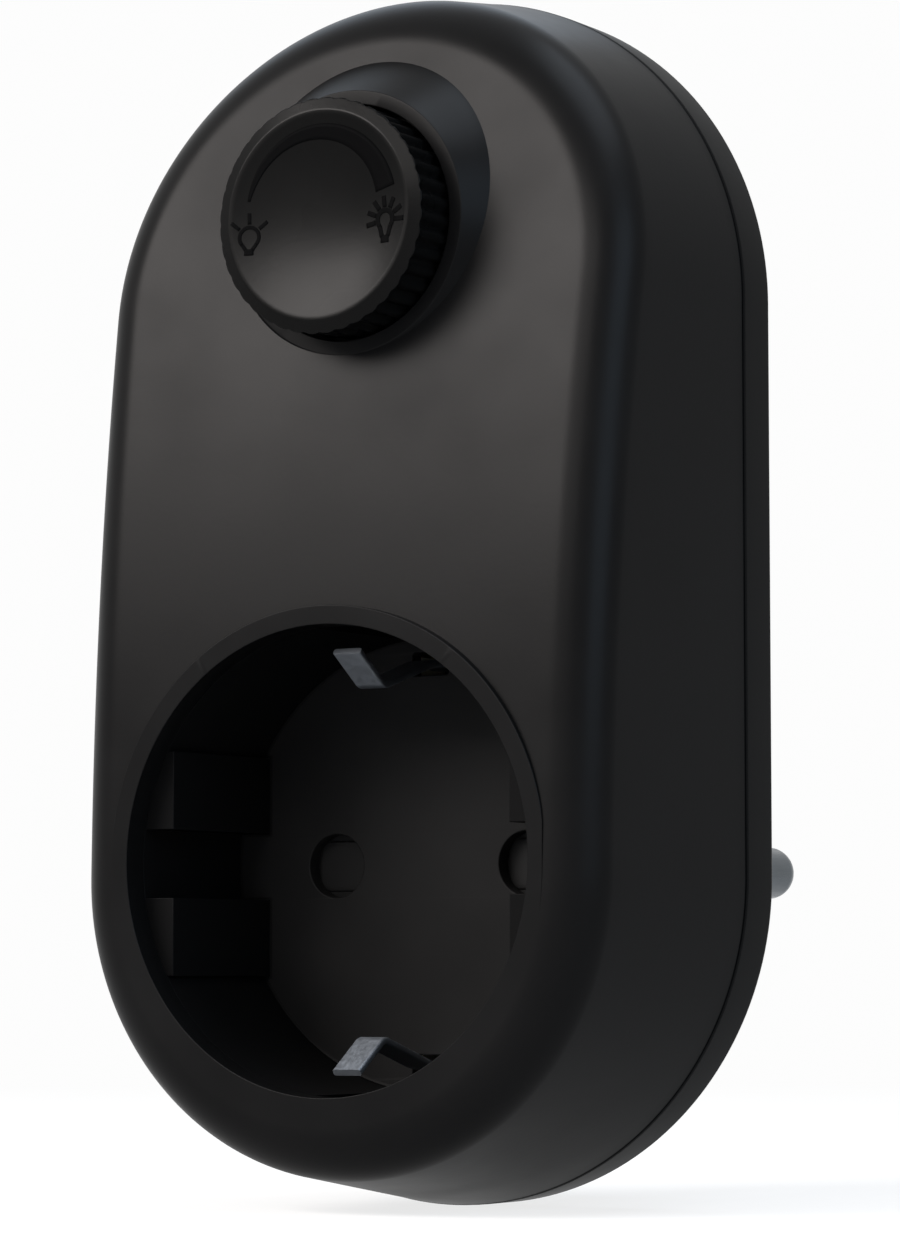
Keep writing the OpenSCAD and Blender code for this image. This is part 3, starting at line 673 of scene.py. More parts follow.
@dataclass
class HousingForm:
    """The housing's outline and skin: a stadium with leaning walls and a front that bends back."""

    half_width: float = 28.0
    top_centre: float = 47.5
    bottom_drop: float = 1.2
    front_depth: float = 27.4
    seam_depth: float = 5.2
    draft: float = 0.147
    edge_round: float = 3.8
    bend_radius: float = 320.0
    bend_start: float = -7.0
    arc_steps: int = 96
    side_steps: int = 48
    lean_rounds: int = 12

    def front(self, y: Points) -> Points:
        """Gives the front face's depth: flat below bend_start, then depth - (y - start)^2 / 2 radius."""
        return self.front_depth - np.maximum(0.0, y - self.bend_start) ** 2 / (2.0 * self.bend_radius)

    def stations(self) -> tuple[Points, Points]:
        """Gives the outline's stations, anticlockwise from the right side's lower end.

        Returns:
            The height of each station's arc centre and its outward angle, both as columns.
        """
        low, high = -self.bottom_drop, self.top_centre
        up = np.linspace(low, high, self.side_steps, endpoint=False)
        down = np.linspace(high, low, self.side_steps, endpoint=False)
        turn = np.linspace(0.0, np.pi, self.arc_steps, endpoint=False)
        arcs = np.ones(self.arc_steps)
        centre = np.concatenate([up, arcs * high, down, arcs * low])
        angle = np.concatenate([up * 0.0, turn, down * 0.0 + np.pi, turn + np.pi])
        return centre[:, None], angle[:, None]

    def ring(self, inset: Points, depth: Points) -> Points:
        """Stacks outlines, each moved in by an inset, at their depths.

        Args:
            inset: one inset for each outline, or one for each station and outline.
            depth: one depth for each outline, or one for each station and outline.

        Returns:
            A grid of stations by outlines by 3.
        """
        centre, angle = self.stations()
        radius = self.half_width - np.asarray(inset, float) + 0.0 * angle
        return lift(np.stack([radius * np.cos(angle), centre + radius * np.sin(angle)], axis=-1), depth)

    def skin(self, turn: Points) -> Points:
        """Gives the rounded edge between the leaning wall and the bent front.

        A station's radius is half width - round (1 - cos turn) - lean, and its depth is the front's
        depth at its height - round (1 - sin turn); the lean is the draft times the depth over the seam.
        Lean and depth follow from each other, so they are worked out in rounds.

        Args:
            turn: angles of the round, 0 at the wall and a quarter turn at the front.

        Returns:
            A grid of stations by turns by 3.
        """
        centre, angle = self.stations()
        radius = self.half_width - self.edge_round * (1.0 - np.cos(turn)) + 0.0 * angle
        lean = 0.0 * radius
        for _ in range(self.lean_rounds):
            height = centre + (radius - lean) * np.sin(angle)
            level = self.front(height) - self.edge_round * (1.0 - np.sin(turn))
            lean = self.draft * np.maximum(0.0, level - self.seam_depth)
        return np.stack([(radius - lean) * np.cos(angle), height, level], axis=-1)

    def wall(self, start: float, steps: int) -> Points:
        """Gives the leaning wall from a depth over the seam up to the rounded edge.

        Args:
            start: depth of the wall's first outline.
            steps: how many outlines.

        Returns:
            A grid of stations by outlines by 3.
        """
        share = np.linspace(0.0, 1.0, steps)
        level = start + share * (self.skin(np.zeros(1))[:, :, 2] - start)
        return self.ring(self.draft * (level - self.seam_depth), level)


@dataclass
class FrontShell:
    """Front shell: skin, rim at the seam, raised lip round the socket, collar round the knob."""

    form: HousingForm
    socket_radius: float = SOCKET_RADIUS
    lip_width: float = 1.6
    lip_edge: float = 0.08
    lip_margin: float = 0.1
    seat_depth: float = SEAT_DEPTH
    knob_axis: float = KNOB_AXIS
    collar_radius: float = 11.2
    collar_front: float = 23.6
    collar_flare: float = 0.66
    collar_edge: float = 0.12
    pocket_radius: float = 10.0
    pocket_floor: float = 21.0
    pocket_corner: float = 0.3
    bush_hole: float = 3.7
    bush_wall: float = 1.0
    seam_gap: float = 0.12
    rim_insets: tuple[float, ...] = (1.4, 0.30, 0.10, 0.02)
    rim_rises: tuple[float, ...] = (0.0, 0.0, 0.06, 0.22)
    wall_start: float = 0.4
    wall: float = 0.45
    divide_share: float = 0.66
    divide_steps: int = 28
    zone_steps: int = 18
    wall_steps: int = 14
    round_steps: int = 18
    bow_steps: int = 6
    meet_rounds: int = 30

    def divide(self, border: Points) -> tuple[Points, Points]:
        """Divides the front by a line across, between the socket and the knob.

        Args:
            border: the front's border, points by 2.

        Returns:
            The lower loop and the upper loop, both anticlockwise.
        """
        sides, arcs = self.form.side_steps, self.form.arc_steps
        right = int(sides * self.divide_share)
        left = 2 * sides + arcs - right
        across = np.linspace(border[right], border[left], self.divide_steps)[1:-1]
        lower = np.vstack([border[left:], border[: right + 1], across])
        upper = np.vstack([border[right : left + 1], across[::-1]])
        return lower, upper

    def zone(self, border: Points, centre: float, inner: Points) -> Points:
        """Fills the front between a border loop and an inner loop, on the bent front.

        A point is inner + t (border - inner), with the front's depth at its height.

        Args:
            border: the outer loop, points by 2.
            centre: height of the inner loop's middle.
            inner: radius of the inner loop towards each border point.

        Returns:
            A grid of border points by steps by 3, from the inner loop out.
        """
        away = border - (0.0, centre)
        start = away / np.linalg.norm(away, axis=1, keepdims=True) * inner[:, None] + (0.0, centre)
        share = np.linspace(0.0, 1.0, self.zone_steps)[None, :, None]
        flat = start[:, None, :] + share * (border - start)[:, None, :]
        return lift(flat, self.form.front(flat[..., 1]))

    def lip_foot(self, border: Points) -> Points:
        """Gives the lip's foot towards each border point: its outer radius, kept inside the border."""
        outer = self.socket_radius + self.lip_width
        return np.minimum(outer, np.linalg.norm(border, axis=1) - self.lip_margin)

    def collar_base(self, border: Points) -> Points:
        """Finds where the collar's cone meets the front, towards each border point.

        The cone's radius is collar radius + flare (collar front - depth), at the front's own depth.

        Args:
            border: the zone's outer loop.

        Returns:
            The radius of the meeting curve towards each point.
        """
        away = border - (0.0, self.knob_axis)
        rise = away[:, 1] / np.linalg.norm(away, axis=1)
        radius = np.full(len(border), self.collar_radius)
        for _ in range(self.meet_rounds):
            depth = self.form.front(self.knob_axis + radius * rise)
            radius = self.collar_radius + self.collar_flare * np.maximum(0.0, self.collar_front - depth)
        return radius

    def raised(self, foot: Points, centre: float, radius: Points, depth: Points) -> Points:
        """Carries a profile round a foot curve; its outer edge stays over the foot and inside it.

        Args:
            foot: the curve on the front, points by 3.
            centre: height of the profile's axis.
            radius: the profile's radii.
            depth: the profile's depths, highest where its outer edge ends.

        Returns:
            A grid of foot points by profile points by 3, the foot first.
        """
        away = foot[:, :2] - (0.0, centre)
        foot_radius = np.linalg.norm(away, axis=1, keepdims=True)
        outside = np.arange(len(radius)) <= np.argmax(depth)
        reach = np.where(outside, np.minimum(radius, foot_radius), radius)
        flat = (away / foot_radius)[:, None, :] * reach[..., None] + (0.0, centre)
        level = np.where(outside, np.maximum(depth, foot[:, 2:3]), depth)
        return np.concatenate([foot[:, None, :], lift(flat, level)], axis=1)

    def lip_profile(self) -> tuple[Points, Points]:
        """Gives the lip's section: rounded outer edge, rounded inner edge, wall down to the seat.

        Returns:
            The profile's radii and depths.
        """
        inset, drop = edge_turn(self.lip_edge)
        inner, front = self.socket_radius, self.form.front_depth
        radius = np.concatenate([inner + self.lip_width - inset, inner + inset[::-1], [inner]])
        depth = np.concatenate([front - drop, front - drop[::-1], [self.seat_depth]])
        return radius, depth

    def collar_profile(self) -> tuple[Points, Points]:
        """Gives the collar's section: rounded outer edge, ledge, pocket for the knob, hole for the bush.

        The outer edge is a round of radius e that touches the cone, which leans by a, and the ledge:
        the round's middle is at collar radius - e (1 - sin a) / cos a.

        Returns:
            The profile's radii and depths.
        """
        inset, drop = edge_turn(self.collar_edge)
        lean = math.atan(self.collar_flare)
        bow = np.linspace(lean, np.pi / 2, self.bow_steps)
        middle = self.collar_radius - self.collar_edge * (1.0 - math.sin(lean)) / math.cos(lean)
        pocket, hole = self.pocket_radius, self.bush_hole
        radius = np.concatenate(
            [
                middle + self.collar_edge * np.cos(bow),
                pocket + inset[::-1],
                [pocket, pocket - self.pocket_corner, hole, hole],
            ]
        )
        depth = np.concatenate(
            [
                self.collar_front - self.collar_edge * (1.0 - np.sin(bow)),
                self.collar_front - drop[::-1],
                self.pocket_floor + np.array([self.pocket_corner, 0.0, 0.0, -self.bush_wall]),
            ]
        )
        return radius, depth

    def build(self) -> None:
        """Builds the shell's skin, zones, lip and collar as one surface with a wall."""
        work = Sheetwork()
        form = self.form
        seam = form.seam_depth
        rim = form.ring(self.rim_insets, seam + self.seam_gap + np.array(self.rim_rises))
        side = form.wall(seam + self.wall_start, self.wall_steps)
        rounded = form.skin(np.linspace(0.0, np.pi / 2, self.round_steps))
        work.grid(np.concatenate([rim, side[:, :-1], rounded], axis=1))
        lower, upper = self.divide(rounded[:, -1, :2])
        socket_zone = self.zone(lower, 0.0, self.lip_foot(lower))
        knob_zone = self.zone(upper, self.knob_axis, self.collar_base(upper))
        work.grid(socket_zone)
        work.grid(knob_zone)
        work.grid(self.raised(socket_zone[:, 0], 0.0, *self.lip_profile()))
        work.grid(self.raised(knob_zone[:, 0], self.knob_axis, *self.collar_profile()))
        shell = work.piece("front_shell_skin", Look.black_plastic, thickness=self.wall)
        fit_piece(shell, "housing", Look.black_plastic, "front_shell")


@dataclass
class RearCover:
    """Rear cover: side band and plate, with sunk screws and an opening for the plug's wiring."""

    form: HousingForm
    wall: float = 2.2
    edge: float = 0.8
    edge_steps: int = 7
    seam_insets: Pair = (0.30, 0.10)
    seam_drops: Pair = (0.07, 0.28)
    hollow_radius: float = HOLLOW_RADIUS
    bore_radius: float = 2.6
    bore_depth: float = 2.0
    bore_chamfer: float = 0.2
    head_radius: float = 2.4
    head_sunk: float = 0.6
    head_edge: float = 0.55
    head_steps: int = 6
    cross_half: float = 0.42
    cross_reach: float = 1.5
    cross_depth: float = 0.9
    cross_taper: float = 0.12
    screws: tuple[Pair, ...] = ((0.0, 70.1), (0.0, -23.8), (22.6, 26.0), (-22.6, 26.0))

    def build(self) -> None:
        """Builds the cover as one closed surface."""
        work = Sheetwork()
        seam = self.form.seam_depth
        inset, drop = edge_turn(self.edge, self.edge_steps)
        near, far = self.seam_drops
        insets = np.concatenate([[self.wall, self.wall, *self.seam_insets, 0.0], inset])
        depths = np.concatenate([[self.wall, seam, seam, seam - near, seam - far], drop])
        band = self.form.ring(insets, depths)
        work.grid(band)
        bores = [circle(self.bore_radius, place) for place in self.screws]
        for bore in bores:
            work.grid(hole_wall(bore, self.bore_chamfer, 0.0, self.bore_depth))
            work.fill(self.bore_depth, bore)
        hollow = circle(self.hollow_radius, steps=LARGE_STEPS)
        work.grid(stack_loops(hollow, [0.0, 0.0], [0.0, self.wall]))
        mouths = [inset_loop(bore, -self.bore_chamfer) for bore in bores]
        work.fill(0.0, band[:, -1, :2], hollow, *mouths)
        work.fill(self.wall, band[:, 0, :2], hollow)
        cover = work.piece("rear_cover_body", Look.cover_plastic)
        fit_piece(cover, "housing", Look.cover_plastic, "rear_cover")

    def build_screws(self) -> None:
        """Builds the pan heads of the cover screws, each with a cross recess."""
        work = Sheetwork()
        reach, half = self.cross_reach, self.cross_half
        arm = [(reach, 0.0), (reach, half), (half, half), (half, reach), (0.0, reach)]
        cross = four_fold(np.array(arm))
        cross_floor = self.head_sunk + self.cross_depth
        inset, drop = edge_turn(self.head_edge, self.head_steps)
        insets = np.concatenate([[0.0], inset])
        depths = np.concatenate([[self.bore_depth], self.head_sunk + drop])
        for place in self.screws:
            rim = circle(self.head_radius, place)
            head = stack_loops(rim, insets, depths)
            slot = cross + np.array(place)
            work.grid(head)
            work.fill(self.bore_depth, rim)
            work.fill(self.head_sunk, head[:, -1, :2], slot)
            work.grid(stack_loops(slot, [0.0, self.cross_taper], [self.head_sunk, cross_floor]))
            work.fill(cross_floor, inset_loop(slot, self.cross_taper))
        screws = work.piece("cover_screw_heads", Look.screw_steel)
        fit_piece(screws, "housing", Look.screw_steel, "cover_screws")


@dataclass
class PlugBody:
    """Plug body: a round block with guide flats, ribs, earth channels and a hollow for the wiring."""

    radius: float = 18.3
    flat_half: float = 16.0
    rib_half: float = 2.5
    channel_half: float = 2.7
    channel_floor: float = 16.9
    edge: float = 0.7
    edge_steps: int = 6
    root_fillet: float = 0.3
    root_middle: float = 0.09
    hollow_radius: float = HOLLOW_RADIUS
    end_wall: float = 2.6
    pin_hole: float = 2.8
    pin_chamfer: float = 0.2
    rib_steps: int = 5
    round_steps: int = 24

    def outline(self) -> Points:
        """Gives the plug's outline: a circle with flats, a rib on each flat and two earth channels.

        Returns:
            A closed loop, anticlockwise.
        """
        rib = math.asin(self.rib_half / self.radius)
        flat_top = math.acos(self.flat_half / self.radius)
        mouth = math.acos(self.channel_half / self.radius)
        quarter = np.vstack(
            [
                arc(self.radius, 0.0, rib, self.rib_steps),
                [(self.flat_half, self.rib_half)],
                arc(self.radius, flat_top, mouth, self.round_steps),
                [(self.channel_half, self.channel_floor), (0.0, self.channel_floor)],
            ]
        )
        return four_fold(quarter)

    def build(self) -> None:
        """Builds the plug body as one closed surface."""
        work = Sheetwork()
        inset, drop = edge_turn(self.edge, self.edge_steps)
        root, middle = self.root_fillet, self.root_middle
        wall = stack_loops(
            self.outline(),
            np.concatenate([[-root, -middle, 0.0], inset]),
            np.concatenate([[0.0, -middle, -root], drop - PLUG_LENGTH]),
        )
        work.grid(wall)
        inner_end = self.end_wall - PLUG_LENGTH
        holes = [circle(self.pin_hole, (side * PIN_HALF_SPACING, 0.0)) for side in SIDES]
        for hole in holes:
            work.grid(hole_wall(hole, self.pin_chamfer, -PLUG_LENGTH, inner_end))
        hollow = circle(self.hollow_radius, steps=LARGE_STEPS)
        work.grid(stack_loops(hollow, [0.0, 0.0], [inner_end, 0.0]))
        work.fill(0.0, wall[:, 0, :2], hollow)
        mouths = [inset_loop(hole, -self.pin_chamfer) for hole in holes]
        work.fill(-PLUG_LENGTH, wall[:, -1, :2], *mouths)
        work.fill(inner_end, hollow, *holes)
        plug = work.piece("plug_body_shell", Look.cover_plastic)
        fit_piece(plug, "housing", Look.cover_plastic, "plug_body")


@dataclass
class SocketCup:
    """Recess: round wall with guide blocks and clip pockets, on a floor with pin holes and a skirt."""

    radius: float = SOCKET_RADIUS
    outer_radius: float = 21.0
    seat_depth: float = SEAT_DEPTH
    floor_depth: float = 9.9
    floor_fillet: float = 0.25
    fillet_middle: float = 0.05
    back_depth: float = 8.5
    block_flat: float = 16.4
    block_half: float = 9.5
    slot_half: float = 2.9
    pocket_half: float = 2.2
    pocket_reach: float = 20.4
    edge: float = 0.1
    hole_radius: float = 2.75
    hole_edge: float = 0.12
    clip_slot: Pair = (3.6, 2.0)
    clip_corner: float = 0.3
    clip_height: float = 17.25
    skirt_radii: Pair = (16.6, 18.4)
    skirt_depth: float = 6.3
    skirt_arcs: tuple[Pair, ...] = (
        (-79.5, 54.3),
        (65.7, 79.5),
        (100.5, 114.3),
        (125.7, 259.5),
    )
    slot_steps: int = 5
    wall_steps: int = 26
    hole_steps: int = 72
    hole_edge_steps: int = 4
    skirt_steps: int = 40

    def inner_loop(self) -> Points:
        """Gives the recess's outline: a circle with two split guide blocks and two clip pockets.

        Returns:
            A closed loop, anticlockwise.
        """
        slot = math.asin(self.slot_half / self.radius)
        block = math.asin(self.block_half / self.radius)
        pocket = math.acos(self.pocket_half / self.radius)
        quarter = np.vstack(
            [
                arc(self.radius, 0.0, slot, self.slot_steps),
                [(self.block_flat, self.slot_half), (self.block_flat, self.block_half)],
                arc(self.radius, block, pocket, self.wall_steps),
                [(self.pocket_half, self.pocket_reach), (0.0, self.pocket_reach)],
            ]
        )
        return four_fold(quarter)

    def build_wall(self) -> None:
        """Builds the recess wall as one closed surface, rounded at its front edge and the floor, in a
        darker copy of the recess plastic that paints the shade on the walls.
        """
        work = Sheetwork()
        inset, drop = edge_turn(self.edge)
        fillet = np.array([0.0, self.fillet_middle, self.floor_fillet])
        inner = stack_loops(
            self.inner_loop(),
            np.concatenate([-inset[::-1], fillet]),
            np.concatenate([self.seat_depth - drop[::-1], self.floor_depth + fillet[::-1]]),
        )
        work.grid(inner)
        outer = circle(self.outer_radius, steps=RECESS_STEPS)
        work.grid(stack_loops(outer, [0.0, 0.0], [self.floor_depth, self.seat_depth]))
        work.fill(self.seat_depth, outer, inner[:, 0, :2])
        work.fill(self.floor_depth, outer, inner[:, -1, :2])
        # The walls take the darker copy of the recess plastic: painted shade
        wall = work.piece("recess_wall", Look.cup_wall)
        fit_piece(wall, "housing", Look.cup_plastic, "socket_cup")

    def add_skirt(self, work: Sheetwork) -> None:
        """Adds the skirt: a flat ring section carried along the arcs between its notches.

        Args:
            work: the sheetwork that takes the skirt.
        """
        low, high = self.skirt_radii
        back, end = self.back_depth, self.skirt_depth
        radius = np.array([low, high, high, low, low])
        for first, last in self.skirt_arcs:
            way = arc(1.0, math.radians(first), math.radians(last), self.skirt_steps)
            bar = lift(way[:, None, :] * radius[None, :, None], [back, back, end, end, back])
            work.grid(bar, around=False)
            for tip in (bar[0], bar[-1]):
                work.grid(tip[[[0, 1], [3, 2]]], around=False)

    def build_floor(self) -> None:
        """Builds the floor with rounded pin holes and clip slots, and the notched skirt behind it."""
        work = Sheetwork()
        corner, height = self.clip_corner, self.clip_height
        radius, steps = self.hole_radius, self.hole_steps
        holes = [circle(radius, (side * PIN_HALF_SPACING, 0.0), steps) for side in SIDES]
        holes += [rounded_box(*self.clip_slot, corner, (0.0, side * height)) for side in SIDES]
        inset, drop = edge_turn(self.hole_edge, self.hole_edge_steps)
        insets = np.concatenate([-inset[::-1], [0.0]])
        depths = np.concatenate([self.floor_depth - drop[::-1], [self.back_depth]])
        for hole in holes:
            work.grid(stack_loops(hole, insets, depths))
        outer = circle(self.outer_radius, steps=RECESS_STEPS)
        work.grid(stack_loops(outer, [0.0, 0.0], [self.back_depth, self.floor_depth]))
        work.fill(self.floor_depth, outer, *(inset_loop(hole, -self.hole_edge) for hole in holes))
        work.fill(self.back_depth, outer, *holes)
        self.add_skirt(work)
        floor = work.piece("recess_floor_plate", Look.cup_plastic)
        fit_piece(floor, "housing", Look.cup_plastic, "recess_floor")


@dataclass
class ShutterPads:
    """The two pads of the safety shutter that close the pin holes from behind."""

    width: float = 5.2
    height: float = 4.4
    corner: float = 1.0
    edge: float = 0.2
    back: float = 7.9
    front: float = 8.4

    def build(self) -> None:
        """Builds both pads with rounded edges."""
        work = Sheetwork()
        inset, drop = edge_turn(self.edge)
        insets = np.concatenate([[0.0], inset])
        depths = np.concatenate([[self.back], self.front - drop])
        for side in SIDES:
            loop = rounded_box(self.width, self.height, self.corner, (side * PIN_HALF_SPACING, 0.0))
            wall = stack_loops(loop, insets, depths)
            work.grid(wall)
            work.fill(self.back, loop)
            work.fill(self.front, wall[:, -1, :2])
        pads = work.piece("shutter_pads", Look.shutter_plastic)
        fit_piece(pads, "shutter", Look.shutter_plastic)


@dataclass
class EarthStrips:
    """The two bent strips: earth clip in the recess, side contact along the plug."""

    thickness: float = 0.6
    section_half: float = 1.0
    section_corner: float = 0.22
    plug_width: float = 5.0
    clip_width: float = 2.7
    narrow_depth: float = 7.0
    narrow_run: float = 0.8
    path: tuple[Pair, ...] = (
        (17.25, -16.5),
        (17.25, 10.3),
        (17.0, 11.8),
        (14.8, 19.4),
        (17.5, 23.4),
    )
    straight_run: float = 22.0
    straight_steps: int = 24
    bend: float = 1.1
    slight_bend: float = 0.6
    slight_cosine: float = -0.5
    bend_steps: int = 9
    tip_share: float = 0.5
    tip_steps: int = 8

    def bent_path(self) -> Points:
        """Rounds the path's corners: each corner P gives the curve A (1-t)^2 + 2 P t (1-t) + B t^2.

        Returns:
            Height and depth along the strip, points by 2.
        """
        corner = np.array(self.path)
        share = np.linspace(0.0, 1.0, self.bend_steps)[:, None]
        runs = [np.linspace(corner[0], corner[0] + (0.0, self.straight_run), self.straight_steps)]
        for before, here, after in zip(corner[:-2], corner[1:-1], corner[2:]):
            back = (before - here) / np.linalg.norm(before - here)
            ahead = (after - here) / np.linalg.norm(after - here)
            reach = self.bend if np.dot(back, ahead) > self.slight_cosine else self.slight_bend
            first = here + back * reach
            last = here + ahead * reach
            runs.append(first * (1 - share) ** 2 + 2 * here * share * (1 - share) + last * share**2)
        tip_start = corner[-1] + (corner[-2] - corner[-1]) * self.tip_share
        runs.append(np.linspace(tip_start, corner[-1], self.tip_steps))
        return np.vstack(runs)

    def build(self, side: float, name: str, node: str) -> None:
        """Builds one strip: a flat section with rounded edges carried along the bent path.

        Args:
            side: 1 for the upper strip, -1 for the lower one.
            name: the piece's name.
            node: the CAD node that it stands for.
        """
        line = self.bent_path()
        normal = left_normals(np.gradient(line, axis=0))
        share = np.clip((line[:, 1] - self.narrow_depth) / self.narrow_run + 0.5, 0.0, 1.0)
        half = (self.plug_width + (self.clip_width - self.plug_width) * share) / 2.0
        on_clip = np.arange(len(line)) >= self.straight_steps
        half = np.where(on_clip, self.clip_width / 2.0, half)
        section = rounded_box(2.0 * self.section_half, self.thickness, self.section_corner, (0.0, 0.0))
        reach = np.sign(section[:, 0]) * (half[:, None] - self.section_half) + section[None, :, 0]
        flat = line[:, None, :] + section[None, :, 1:2] * normal[:, None, :]
        grid = np.stack([reach, side * flat[..., 0], flat[..., 1]], axis=-1)
        work = Sheetwork()
        work.grid(np.swapaxes(grid, 0, 1))
        for end in (grid[0], grid[-1]):
            middle = np.broadcast_to(end.mean(axis=0), end.shape)
            work.grid(np.stack([end, middle], axis=1))
        strip = work.piece(name, Look.earth_steel)
        fit_piece(strip, "housing", Look.earth_steel, node)


@dataclass
class PlugPin:
    """A plug pin: a turned rod with a domed tip, a shoulder in the plug's end wall and a flange."""

    radius: float = 2.4
    tip: float = 38.0
    tip_steps: int = 14
    shoulder: float = 2.75
    flange: float = 3.4
    flange_depths: Pair = (-16.4, -15.4)
    tail: float = 1.5
    tail_end: float = -13.0

    def profile(self) -> tuple[Points, Points]:
        """Gives the pin's profile: tail, flange, shoulder, rod, quarter circle to the tip.

        Returns:
            The profile's radii and depths.
        """
        behind, before = self.flange_depths
        root = [
            (0.0, self.tail_end),
            (self.tail, self.tail_end),
            (self.tail, before),
            (self.flange, before),
            (self.flange, behind),
            (self.shoulder, behind),
            (self.shoulder, -PLUG_LENGTH),
            (self.radius, -PLUG_LENGTH),
        ]
        turn = np.linspace(0.0, np.pi / 2, self.tip_steps)
        dome_depth = self.radius * (1.0 - np.sin(turn)) - self.tip
        dome = np.column_stack([self.radius * np.cos(turn), dome_depth])
        radius, depth = np.vstack([root, dome]).T
        return radius, depth

    def build(self, x: float, name: str, node: str) -> None:
        """Builds one pin by turning its profile about the pin's axis: (r cos, r sin, depth).

        Args:
            x: where the pin's axis is.
            name: the piece's name.
            node: the CAD node that it stands for.
        """
        radius, depth = self.profile()
        ring = circle(1.0, steps=LARGE_STEPS)[:, None, :] * radius[None, :, None]
        work = Sheetwork()
        work.grid(lift(ring + (x, 0.0), depth))
        # The pins take the darkened nickel: painted dark reflection
        pin = work.piece(name, Look.pin_nickel)
        fit_piece(pin, "housing", Look.pin_nickel, node)


@dataclass(frozen=True)
class LampSign:
    """A printed lamp sign: an open ring, two legs that close in on a solid base, and rays over it.

    Its centre is the ring's middle on the knob's face, and the rays are angles in degrees.
    """

    centre: Pair
    ring: float
    drop: float
    weight: float
    rays: tuple[float, ...]
    opening: float = 0.75
    foot: Pair = (0.30, 0.2)
    base_half: float = 0.42
    base_extra: float = 0.22
    ray_start: float = 0.26
    ray_end: float = 1.20
    ring_steps: int = 26
    line_steps: int = 6

    def line(self, start: Points | Pair, end: Points | Pair) -> Points:
        """Gives a straight path between two points."""
        return np.linspace(start, end, self.line_steps)

    def strokes(self) -> list[tuple[Points, float]]:
        """Gives the sign's strokes.

        Returns:
            The path on the face and the width of each stroke.
        """
        ring = arc(self.ring, -self.opening, np.pi + self.opening, self.ring_steps)
        neck, neck_drop = self.ring * direction(np.array(self.opening))
        foot, foot_rise = self.foot
        top, low = -neck_drop, foot_rise - self.drop
        legs = [self.line((side * neck, top), (side * foot, low)) for side in SIDES]
        base = self.line((-self.base_half, -self.drop), (self.base_half, -self.drop))
        near, far = self.ring + self.ray_start, self.ring + self.ray_end
        rays = [self.line(way * near, way * far) for way in direction(np.radians(self.rays))]
        strokes = [(path, self.weight) for path in (ring, *legs)]
        strokes.append((base, self.weight + self.base_extra))
        strokes += [(path, self.weight) for path in rays]
        return [(path + np.array(self.centre), width) for path, width in strokes]


